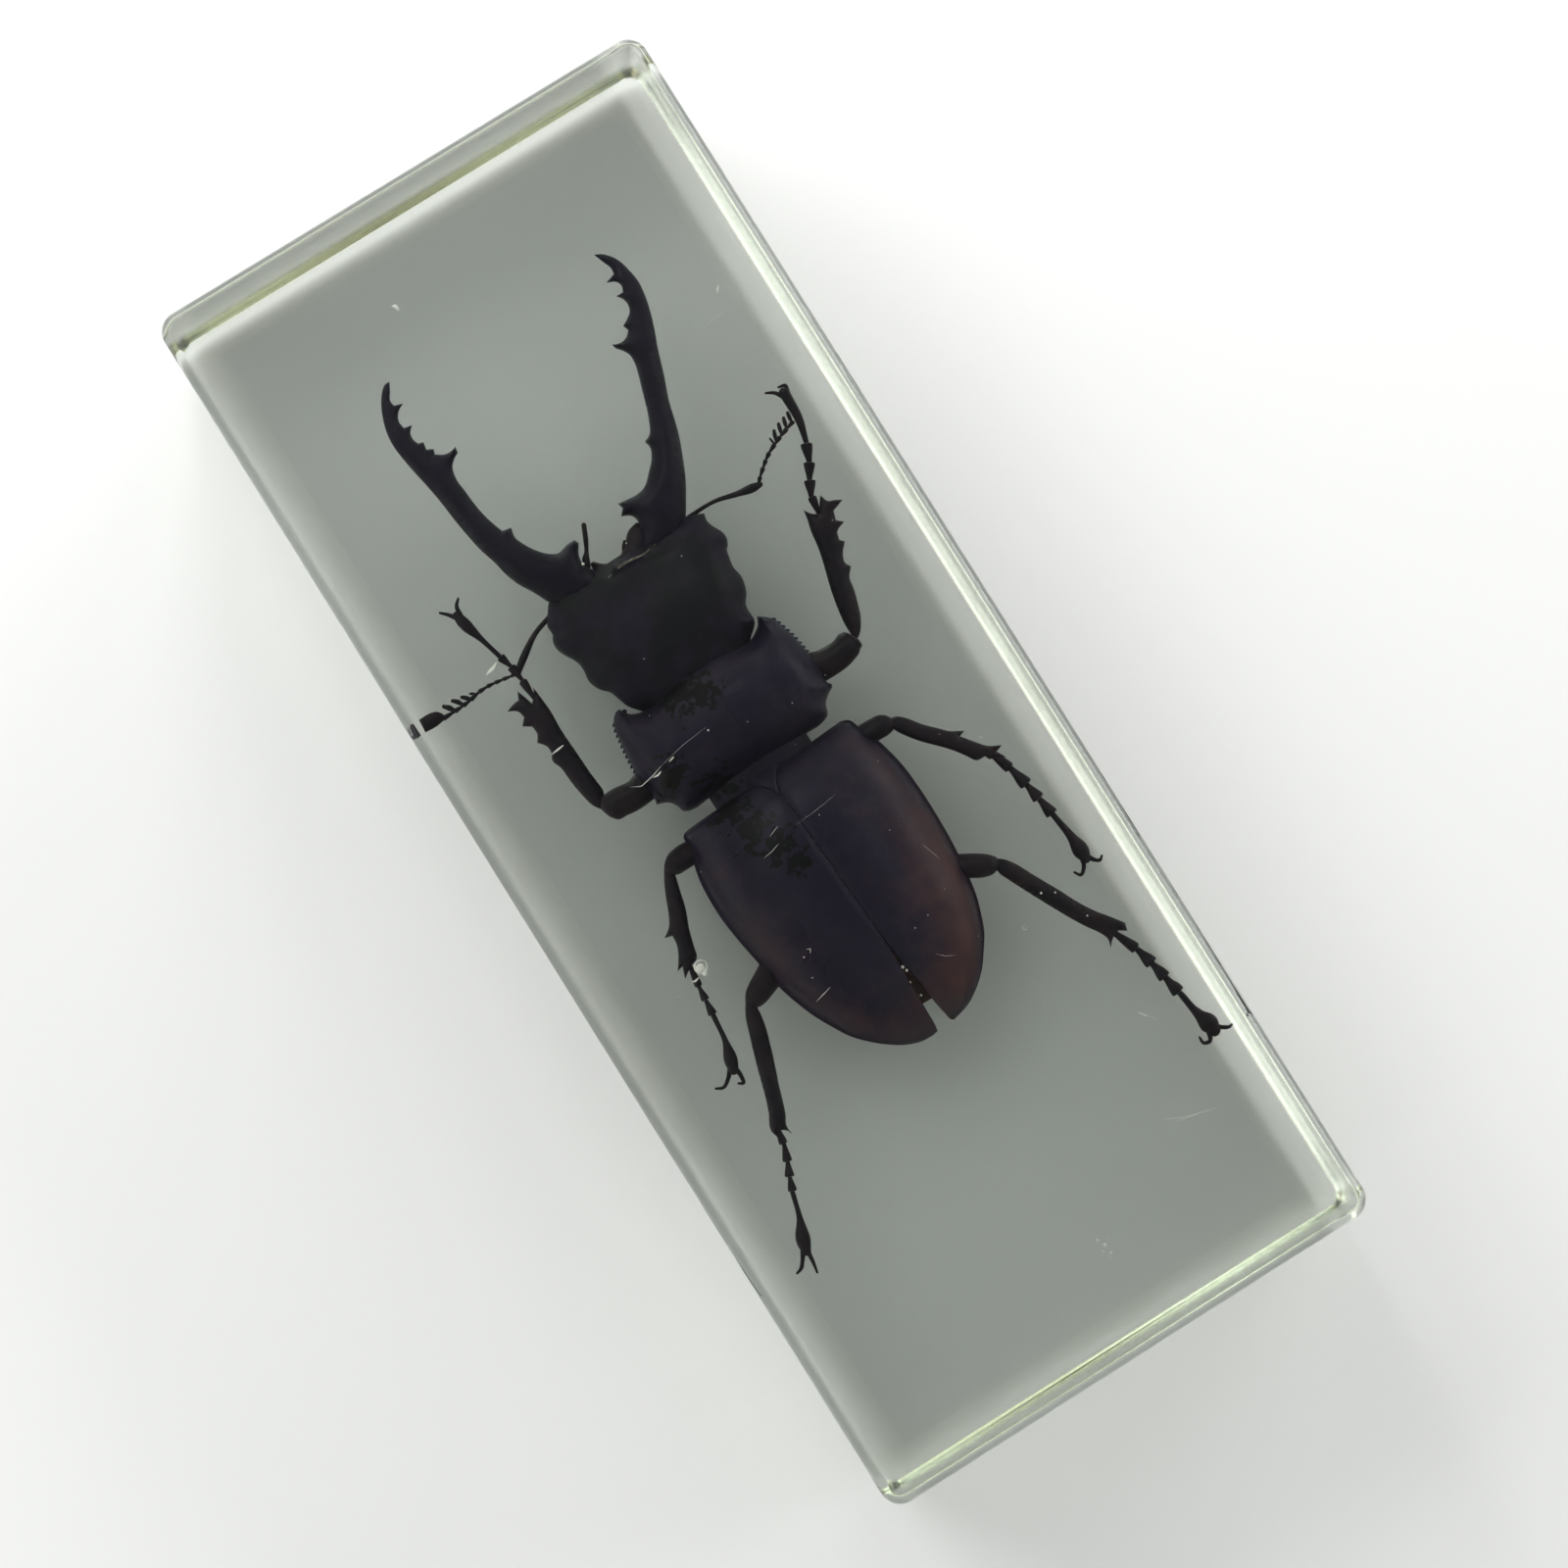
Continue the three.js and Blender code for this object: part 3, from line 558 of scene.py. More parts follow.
# %% Head
HEAD = [
    [-7.4, 20.4], [-7.9, 19.75], [-8.5, 18.8], [-8.5, 18.0], [-8.8, 17.4], [-8.8, 16.75],
    [-8.5, 16.0], [-8.2, 15.5], [-7.94, 14.9], [-7.9, 14.25], [-8.0, 13.25], [-7.6, 12.25],
    [-7.0, 11.6], [-6.7, 10.75], [-6.4, 9.9], [-5.75, 9.1], [-5.0, 8.0], [-4.6, 7.0],
    [3.9, 7.0], [4.2, 8.0], [4.9, 9.4], [5.5, 9.9], [5.95, 10.5], [5.94, 11.0], [6.0, 11.9],
    [6.5, 12.6], [6.8, 13.4], [6.9, 14.0], [6.75, 15.0], [6.9, 15.9], [7.1, 16.6], [7.5, 17.1],
    [7.5, 17.9], [7.25, 18.4], [6.94, 19.25], [7.06, 19.94], [5.8, 20.45], [2.0, 20.6],
    [-3.0, 20.6],
]
HEAD_HEIGHTS = [[7.0, 1.8, 2.0], [9.5, 2.5, 2.7], [12.0, 3.0, 3.1], [15.5, 2.9, 3.0],
                [18.0, 2.5, 2.6], [20.6, 2.2, 2.2]]
FRONT_RIDGE = (19.75, 0.28, 0.35)  # y, half width and height of the ridge behind the lip
HEAD_HOLLOW = (-0.7, 17.6, 3.4, 0.55)  # x, y, radius and depth of the shallow dip behind it
EYES = [[-7.95, 17.1, 1.8], [6.65, 17.5, 1.8]]
LIP = [
    [-3.2, 19.2], [-2.9, 21.3], [-2.6, 21.35], [-2.0, 20.75], [-1.5, 20.56], [-0.75, 20.5],
    [-0.25, 20.75], [0.2, 21.0], [0.6, 21.5], [1.1, 21.94], [2.0, 22.2], [2.6, 21.6], [2.8, 19.2],
]


def bump_up(points, centre_x, centre_y, reach_x, reach_y, height):
    """Raises the upper side in a soft mound, or lowers it where the height is negative."""
    away = ((points[:, 0] - centre_x) / reach_x) ** 2 + ((points[:, 1] - centre_y) / reach_y) ** 2
    top = np.clip((points[:, 2] - PLANE) / 1.5, 0, 1)
    points[:, 2] += height * np.exp(-away) * top


head_points, head_faces = pillow(HEAD, HEAD_HEIGHTS, 3.2, 0.22)
ridge_y, ridge_half, ridge_height = FRONT_RIDGE
bump_up(head_points, 0, ridge_y, 2.6, ridge_half, ridge_height)
bump_up(head_points, *HEAD_HOLLOW[:2], HEAD_HOLLOW[2], HEAD_HOLLOW[2] * 0.6, -HEAD_HOLLOW[3])
for side_x in (-5.6, 4.2):
    bump_up(head_points, side_x, 12.6, 1.6, 2.4, 0.35)
beetle_piece("head", [(head_points, head_faces)], shaded_head_shell)

# %% The lip, and the pale skin of its joint with a painted glint
beetle_piece("lip", [pillow(LIP, [[19, 0.9, 0.9], [22, 0.6, 0.8]], 0.7, 0.2)], leg_shell)
# The pale line in the fold above the lip is skin, painted pale enough to be the ridge's highlight
# there too.
LIP_SKIN_AND_GLINT = [  # x, y and width of the pale skin that shows in the fold above the lip
    [-2.3, 19.45, 0.06], [-1.9, 19.56, 0.12], [-0.9, 19.72, 0.16], [0.0, 19.7, 0.17],
    [0.9, 19.58, 0.14], [1.6, 19.64, 0.1], [2.4, 19.8, 0.06],
]


def on_top(points, x, y):
    """How far the upper side of a skin lies above the plane of the sides at a place."""
    upper = points[points[:, 2] > PLANE]
    return upper[np.argmin((upper[:, 0] - x) ** 2 + (upper[:, 1] - y) ** 2), 2] - PLANE


beetle_piece("lip_joint", [tube([[x, y, width, -on_top(head_points, x, y)]
                                 for x, y, width in LIP_SKIN_AND_GLINT], 6, 10)], skin_and_glint)

# %% Eyes
def ball(x, y, width, long=1.25, high=0.95, depth=0.25):
    """An egg shape in the side of the head, longer than it is wide."""
    turns = np.linspace(0.06, math.pi - 0.06, 17)
    half = width / 2 * np.sin(turns)
    middle = np.column_stack([np.full(17, x), y + width / 2 * long * np.cos(turns)])
    aside = np.column_stack([half, np.zeros(17)])
    return skin(middle - aside, middle + aside, half * high, half * high, depth, oval(24))


for name, (x, y, width) in zip(("left_eye", "right_eye"), EYES):
    beetle_piece(name, [ball(x, y, width)], eye_shell)

# %% [markdown]
# ## Chest shield
# The shield behind the head is a wide low dome. Its front corners reach forward round the head
# and leave two small see-through crescents beside it. Its sides are finely toothed, and a small
# spine ends each side before it narrows to the waist.

# %% Chest shield
SHIELD = [
    [-7.2, 10.3], [-8.05, 9.5], [-8.3, 8.8], [-8.45, 7.8], [-8.6, 6.7], [-8.7, 5.6],
    [-8.72, 4.2], [-8.5, 2.6], [-8.64, 1.98], [-8.2, 1.85], [-7.7, 1.6], [-7.25, 0.95],
    [-7.1, 0.45], [-6.5, 0.15], [-4.9, 0.2], [0.0, 0.3], [4.6, 0.5], [6.2, 0.55], [6.9, 0.9],
    [7.2, 1.7], [7.9, 2.3], [8.6, 2.65], [8.24, 3.1], [8.3, 4.5], [8.18, 6.0], [8.0, 7.2],
    [7.84, 8.0], [7.6, 8.8], [7.35, 9.6], [7.0, 10.06], [6.25, 10.62], [5.95, 10.0],
    [5.4, 9.55], [4.75, 9.25], [3.8, 9.6], [2.2, 10.3], [0.0, 10.5], [-2.4, 10.2],
    [-4.2, 9.4], [-5.6, 8.95], [-6.5, 9.25], [-6.95, 9.75],
]
SHIELD_HEIGHTS = [[0.2, 3.2, 3.3], [2.0, 4.1, 3.5], [5.0, 4.35, 3.6], [8.0, 4.0, 3.3],
                  [10.6, 3.2, 2.8]]
SIDE_TEETH = (5.2, 9.9, 0.45, 0.17)  # from y, to y, spacing and height of the teeth
WAIST = [
    [-4.90, 1.6, 4.60, 1.6, 1.2, 2.6],
    [-4.80, 0.3, 4.62, 0.3, 1.3, 3.0],
    [-4.78, -0.9, 4.62, -0.5, 1.3, 3.2],
    [-4.70, -3.0, 4.80, -3.0, 1.3, 3.5],
]


def side_teeth(outline, low, high, spacing, reach):
    """Small spines, slanted back, along both sides of an outline between two heights of y."""
    made = []
    for side in (-1, 1):
        edge = sorted((y, x) for x, y in outline if side * x > 6.5)
        for y in np.arange(low, high, spacing):
            x = np.interp(y, *zip(*edge))
            made.append(tube([[x - side * 0.3, y, spacing * 0.9], [x, y - 0.02, spacing * 0.7],
                              [x + side * reach, y - 0.08, 0.07]], 3, 10))
    return made


shield_points, shield_faces = pillow(SHIELD, SHIELD_HEIGHTS, 4.4, 0.22)
bump_up(shield_points, 0, 5.2, 0.35, 4.0, -0.18)
for side_x in (-4.6, 4.4):
    bump_up(shield_points, side_x, 4.6, 1.3, 1.5, -0.3)
    bump_up(shield_points, side_x * 0.55, 6.5, 1.6, 1.8, 0.2)
beetle_piece("chest_shield", [(shield_points, shield_faces), row_skin(WAIST, 4, oval(40)),
                              *side_teeth(SHIELD, *SIDE_TEETH)], body_shell)

# %% [markdown]
# ## Wing cases
# The two hard fore wings meet in a straight seam down the back, and part before the tail, where
# the brown end of the body shows between them. Each has its own skin: a rim along its side, a
# dome that rises to the seam, and a flat wall at the seam itself.

# %% Wing cases
SEAM = (0.02, -0.0565, 0.05)  # the seam's x where y is 0, how it drifts with y, and its gap
LEFT_CASE = [
    [-7.20, -1.00, -0.60, -0.80, 1.9, 0.3],
    [-7.93, -1.15, -0.50, -1.10, 2.6, 0.4],
    [-8.26, -2.20, None, -2.10, 3.6, 0.5],
    [-8.64, -3.70, None, -3.80, 4.3, 0.6],
    [-8.93, -5.00, None, -5.20, 4.6, 0.6],
    [-9.08, -6.70, None, -6.90, 4.8, 0.6],
    [-9.07, -8.57, None, -8.60, 4.9, 0.6],
    [-8.86, -10.57, None, -10.50, 4.9, 0.6],
    [-8.50, -12.86, None, -12.70, 4.8, 0.6],
    [-8.00, -15.86, None, -15.60, 4.5, 0.6],
    [-7.57, -17.30, 0.95, -17.20, 4.2, 0.6],
    [-7.00, -18.86, 0.96, -18.70, 3.9, 0.5],
    [-6.14, -20.57, 0.94, -20.30, 3.4, 0.5],
    [-5.29, -22.00, 0.93, -21.60, 2.8, 0.5],
    [-4.29, -23.10, 0.93, -22.80, 2.25, 0.4],
    [-3.14, -24.10, 0.93, -23.70, 1.7, 0.4],
    [-1.70, -25.00, 0.93, -24.50, 1.1, 0.3],
    [-0.45, -25.40, 0.90, -25.00, 0.7, 0.3],
    [0.35, -25.44, 0.84, -25.32, 0.4, 0.2],
]
RIGHT_CASE = [
    [7.40, -0.12, -0.52, -0.72, 1.9, 0.3],
    [7.95, -0.32, -0.42, -1.05, 2.6, 0.4],
    [8.48, -1.35, None, -2.05, 3.6, 0.5],
    [9.20, -3.00, None, -3.70, 4.3, 0.6],
    [9.52, -4.15, None, -5.10, 4.6, 0.6],
    [9.85, -5.95, None, -6.80, 4.8, 0.6],
    [10.00, -8.10, None, -8.50, 4.9, 0.6],
    [10.02, -10.30, None, -10.40, 4.9, 0.6],
    [9.93, -12.90, None, -12.60, 4.8, 0.6],
    [9.65, -15.60, None, -15.50, 4.5, 0.6],
    [9.30, -17.70, 1.06, -17.30, 4.2, 0.6],
    [8.86, -19.10, 1.22, -18.80, 3.9, 0.5],
    [8.20, -20.70, 1.48, -20.40, 3.4, 0.5],
    [7.30, -22.00, 1.70, -21.70, 2.8, 0.5],
    [6.43, -23.10, 1.84, -22.80, 2.25, 0.4],
    [5.20, -24.15, 1.95, -23.60, 1.7, 0.4],
    [4.00, -24.85, 2.08, -24.30, 1.1, 0.3],
    [3.00, -25.15, 2.16, -24.80, 0.7, 0.3],
    [2.50, -25.26, 2.22, -25.10, 0.4, 0.2],
]


def to_seam(rows, side):
    """The rows with the seam's x in each row that leaves it open."""
    start, drift, gap = SEAM
    return [[x, y, start + drift * seam_y + side * gap / 2 if seam_x is None else seam_x,
             seam_y, up, down] for x, y, seam_x, seam_y, up, down in rows]


def case_section(sides=40):
    """A wing case's section from its rim over its dome to the seam, and back underneath."""
    RIM = 0.035  # the share of the width that is a flat rim
    over = np.linspace(0, 1, sides)
    from_rim = np.clip((over - RIM) / (1 - RIM), 0, 1)
    rise = 0.05 + 0.95 * (1 - (1 - from_rim) ** 2.3) ** 0.62
    rise -= 0.035 * np.exp(-((1 - over) / 0.03) ** 2)
    under = np.linspace(1, 0, sides // 3)
    top = np.column_stack([over, rise])
    bottom = np.column_stack([under, np.full(len(under), -1.0)])
    return np.vstack([top, bottom])


for name, rows, side in (("left_wing_case", LEFT_CASE, -1), ("right_wing_case", RIGHT_CASE, 1)):
    beetle_piece(name, [row_skin(to_seam(rows, side), 6, case_section())], case_shell)

# %% The small triangular plate where the wing cases meet the chest
PLATE = [
    [-1.75, -0.35, 1.55, -0.25, 2.5, 0.2],
    [-1.45, -0.95, 1.25, -0.85, 3.2, 0.2],
    [-0.75, -1.75, 0.70, -1.70, 3.95, 0.2],
    [-0.08, -2.55, 0.14, -2.55, 4.1, 0.2],
]
beetle_piece("back_plate", [row_skin(PLATE, 6, oval(28, 0.6))], body_shell)

# %% [markdown]
# ## Belly
# Under the wing cases the body is soft-jointed: a deep breast plate that carries the hind legs,
# and then five overlapping rings that end in a brown tail. The rings are steps in one skin.

# %% Belly
BELLY = [
    [-6.0, -1.0, 6.4, -0.5, 1.4, 2.0],
    [-7.6, -3.8, 8.1, -3.3, 1.6, 4.1],
    [-8.1, -8.0, 9.1, -7.6, 1.6, 4.3],
    [-7.6, -12.5, 9.0, -12.2, 1.6, 4.0],
    [-6.8, -16.5, 8.5, -16.4, 1.6, 3.4],
    [-5.2, -19.8, 7.4, -19.8, 1.5, 2.6],
    [-3.1, -21.9, 5.7, -21.9, 1.2, 1.7],
    [-1.0, -22.85, 3.6, -22.85, 0.7, 0.8],
]
RINGS_FROM, RING_LENGTH, RING_STEP = -9.5, 2.6, 0.3

belly_points, belly_faces = row_skin(BELLY, 16, oval(56, 0.8))
ring = (RINGS_FROM - belly_points[:, 1]) / RING_LENGTH
overlap = np.where(ring > 0, (1 - ring % 1.0) ** 3, 0.0)
underside = np.clip((PLANE - belly_points[:, 2]) / 1.2, 0, 1)
belly_points[:, 2] += RING_STEP * overlap * underside
belly_groove = np.exp(-(belly_points[:, 0] - 0.4) ** 2 / 0.2) * (ring < 0)
belly_points[:, 2] += 0.35 * belly_groove * underside
beetle_piece("belly", [(belly_points, belly_faces)], lit_belly_shell)

# %% [markdown]
# ## Jaws
# The jaws are as long as the head and chest together. They bow outwards and curl in again at
# their points, and carry a comb of small teeth before the point, one large tooth, and a broad
# root with blunt teeth. Each is a pillow over its outline, up the outer side to the point and
# down the toothed inner side.

# %% Jaws
RIGHT_JAW = [
    [4.6, 19.0], [5.75, 20.6], [6.5, 21.8], [7.17, 22.9], [8.0, 24.67], [8.83, 26.8],
    [9.5, 29.2], [10.2, 31.0], [11.0, 33.3], [11.67, 35.0], [12.1, 36.3], [12.42, 37.7],
    [12.53, 38.8], [12.4, 39.8], [12.17, 40.8], [11.67, 41.7], [11.0, 42.3], [10.62, 42.45],
    [10.95, 41.5], [11.2, 40.8], [11.15, 40.3], [10.25, 40.0], [11.0, 39.6], [11.17, 39.2],
    [11.0, 38.65], [10.35, 38.65], [10.67, 38.2], [10.8, 37.7], [10.6, 37.0], [10.1, 36.6],
    [9.55, 36.3], [9.72, 35.8], [9.3, 35.4], [8.67, 35.25], [8.25, 35.35],
    [7.98, 35.5], [8.06, 35.1], [8.4, 34.67],
    [8.75, 34.0], [8.75, 33.3], [8.5, 32.3], [8.17, 31.3], [7.75, 30.0], [7.25, 28.67],
    [6.67, 27.67], [6.05, 27.38], [6.17, 26.8], [5.83, 26.0], [5.0, 25.1], [4.0, 24.25],
    [3.33, 24.1], [2.3, 24.17], [1.55, 24.25], [1.67, 23.75], [1.22, 23.25], [2.0, 22.8],
    [2.17, 22.3], [1.9, 21.4], [1.2, 20.2], [1.4, 19.2],
]
LEFT_JAW = [
    [-6.4, 19.0], [-7.33, 20.33], [-8.0, 21.75], [-8.67, 22.9], [-9.1, 24.1], [-9.4, 25.5],
    [-9.75, 26.67], [-10.25, 29.67], [-10.5, 32.0], [-10.75, 33.67], [-11.0, 35.0],
    [-11.25, 36.67], [-11.33, 37.8], [-11.2, 39.0], [-10.9, 40.0], [-10.4, 41.1],
    [-9.83, 41.9], [-9.25, 42.35], [-8.85, 42.35], [-9.25, 41.6], [-9.6, 41.0],
    [-9.55, 40.5], [-8.85, 40.27], [-9.5, 39.9], [-9.9, 39.2], [-9.83, 38.55],
    [-9.15, 38.4], [-9.6, 37.9], [-9.67, 37.3], [-9.5, 36.85], [-9.1, 36.75], [-9.2, 36.1],
    [-8.7, 35.85], [-8.83, 35.4], [-8.17, 35.0], [-7.4, 35.0], [-7.12, 35.1],
    [-7.2, 34.55], [-7.67, 34.3],
    [-8.17, 33.8], [-8.4, 33.0], [-8.33, 31.5], [-8.17, 29.8], [-7.9, 28.5], [-7.5, 27.3],
    [-6.75, 27.15], [-6.9, 26.3], [-6.6, 25.5], [-6.0, 24.5], [-5.1, 23.6], [-4.67, 23.4],
    [-3.67, 23.6], [-2.95, 23.6], [-2.8, 23.2], [-3.3, 22.4], [-3.4, 21.6], [-2.9, 20.6],
    [-3.2, 19.0],
]
JAW_HEIGHTS = [[19.0, 1.7, 1.8], [24.0, 1.7, 1.7], [27.0, 1.5, 1.5], [33.0, 1.25, 1.25],
               [38.0, 1.0, 1.0], [41.0, 0.6, 0.6], [42.5, 0.3, 0.3]]
JAW_EDGE = 1.3
for name, outline in (("right_jaw", RIGHT_JAW), ("left_jaw", LEFT_JAW)):
    beetle_piece(name, [pillow(outline, JAW_HEIGHTS, JAW_EDGE, 0.2, 4)], shaded_jaw_shell)

# %% [markdown]
# ## Legs
# Each leg is a thick thigh that comes out from under the body, a shin that widens to its end and
# carries spines, and a foot. The foot is a chain of short flared joints and one long joint that
# bears two hooked claws. A chain is something that repeats along a path, so the joints are made
# by Geometry Nodes: one turned link, placed on each point, aimed and scaled by its values.

# %% A tree that makes a chain of links
chain, c_in, c_out = new_tree("chain of links", "GeometryNodeTree", [
    ("Points", "geometry", None), ("Neck Width", "float", 0.45), ("Sides", "int", 14),
    ("Rows", "int", 14), ("Material", "material", None),
], [("Chain", "geometry")])
spine_line = add(chain, "GeometryNodeCurvePrimitiveLine", {"End": (0, 0, 1)})
spine_rows = add(chain, "GeometryNodeResampleCurve", {
    "Curve": spine_line.outputs["Curve"], "Count": c_in["Rows"],
})
along = add(chain, "GeometryNodeSplineParameter").outputs["Factor"]
flare = remap(chain, along, 0.05, 0.92)
widening = add(chain, "ShaderNodeMath", {
    0: flare, 1: math_node(chain, "SUBTRACT", 1.0, c_in["Neck Width"]), 2: c_in["Neck Width"],
}, operation="MULTIPLY_ADD").outputs[0]
closing = math_node(chain, "POWER", math_node(chain, "SUBTRACT", 1.0, remap(
    chain, along, 0.91, 1.0)), 0.5)
rooting = math_node(chain, "POWER", remap(chain, along, -0.02, 0.08), 0.5)
half_width = math_node(chain, "MULTIPLY", math_node(chain, "MULTIPLY", widening, closing), 0.5)
link_width = math_node(chain, "MULTIPLY", half_width, rooting)
profile = add(chain, "GeometryNodeCurvePrimitiveCircle", {
    "Resolution": c_in["Sides"], "Radius": 1.0,
})
link = add(chain, "GeometryNodeCurveToMesh", {
    "Curve": spine_rows.outputs["Curve"], "Profile Curve": profile.outputs["Curve"],
    "Scale": link_width, "Fill Caps": True,
})
aim = add(chain, "GeometryNodeInputNamedAttribute", {"Name": "aim"}, data_type="FLOAT_VECTOR")
width = add(chain, "GeometryNodeInputNamedAttribute", {"Name": "width"}, data_type="FLOAT")
length = add(chain, "ShaderNodeVectorMath", {0: aim.outputs["Attribute"]}, operation="LENGTH")
turned = add(chain, "FunctionNodeAlignRotationToVector", {
    "Vector": aim.outputs["Attribute"],
}, axis="Z")
size = add(chain, "ShaderNodeCombineXYZ", {
    "X": width.outputs["Attribute"], "Y": width.outputs["Attribute"],
    "Z": length.outputs["Value"],
})
placed = add(chain, "GeometryNodeInstanceOnPoints", {
    "Points": c_in["Points"], "Instance": link.outputs["Mesh"],
    "Rotation": turned.outputs["Rotation"], "Scale": size.outputs["Vector"],
})
real = add(chain, "GeometryNodeRealizeInstances", {"Geometry": placed.outputs["Instances"]})
coated = add(chain, "GeometryNodeSetMaterial", {
    "Geometry": real.outputs["Geometry"], "Material": c_in["Material"],
})
chain.links.new(coated.outputs["Geometry"], c_out["Chain"])
print("tree", chain.name, "inputs", [s.name for s in chain.interface.items_tree])


# %% Running a tree
def run_tree(tree, name, mesh, **values):
    """The plain mesh that a tree makes of this mesh. The tree's inputs are set by their names."""
    carrier = put_in(name, mesh)
    modifier = carrier.modifiers.new(tree.name, "NODES")
    modifier.node_group = tree
    for socket in tree.interface.items_tree:
        key = socket.name.replace(" ", "_").lower()
        if socket.in_out == "INPUT" and key in values:
            modifier[socket.identifier] = values[key]
    depsgraph = bpy.context.evaluated_depsgraph_get()
    made = bpy.data.meshes.new_from_object(carrier.evaluated_get(depsgraph))
    bpy.data.objects.remove(carrier)
    return made


print("a tree's inputs are set by their identifiers:",
      [(s.name, s.identifier) for s in chain.interface.items_tree][:2])


# %% Feet and feelers as chains
def as_skins(mesh):
    """The separate closed shells of a mesh, as points in millimetres and faces."""
    work = bmesh.new()
    work.from_mesh(mesh)
    bmesh.ops.remove_doubles(work, verts=work.verts, dist=1e-7)
    work.verts.index_update()
    points = np.array([v.co for v in work.verts]) / MM
    group = np.full(len(points), -1)
    shells = []
    for start in work.verts:
        if group[start.index] >= 0:
            continue
        group[start.index] = len(shells)
        stack, own = [start], []
        while stack:
            vertex = stack.pop()
            own.append(vertex.index)
            for edge in vertex.link_edges:
                near = edge.other_vert(vertex)
                if group[near.index] < 0:
                    group[near.index] = len(shells)
                    stack.append(near)
        shells.append(own)
    made = []
    for number, own in enumerate(shells):
        place = {vertex: i for i, vertex in enumerate(own)}
        faces = [tuple(place[v.index] for v in face.verts) for face in work.faces
                 if group[face.verts[0].index] == number]
        made.append((points[own], faces))
    work.free()
    return made


def links(joints, neck=0.45, overlap=0.16):
    """Skins of a chain whose joints end at each point of x, y and width after the first."""
    ends = np.array(joints, float)
    starts = ends[:-1, :2] + (ends[1:, :2] - ends[:-1, :2]) * -overlap
    mesh = bpy.data.meshes.new("joints")
    mesh.from_pydata([(x * MM, y * MM, PLANE * MM) for x, y in starts], [], [])
    aims = np.zeros((len(starts), 3))
    aims[:, :2] = (ends[1:, :2] - starts) * MM
    mesh.attributes.new("aim", "FLOAT_VECTOR", "POINT").data.foreach_set("vector", aims.ravel())
    mesh.attributes.new("width", "FLOAT", "POINT").data.foreach_set("value", ends[1:, 2] * MM)
    return as_skins(run_tree(chain, "joints", mesh, neck_width=neck, material=leg_shell))


print("a chain of two links:", [len(p) for p, f in links([[0, 0, 1], [2, 0, 1], [4, 0, 1]])])

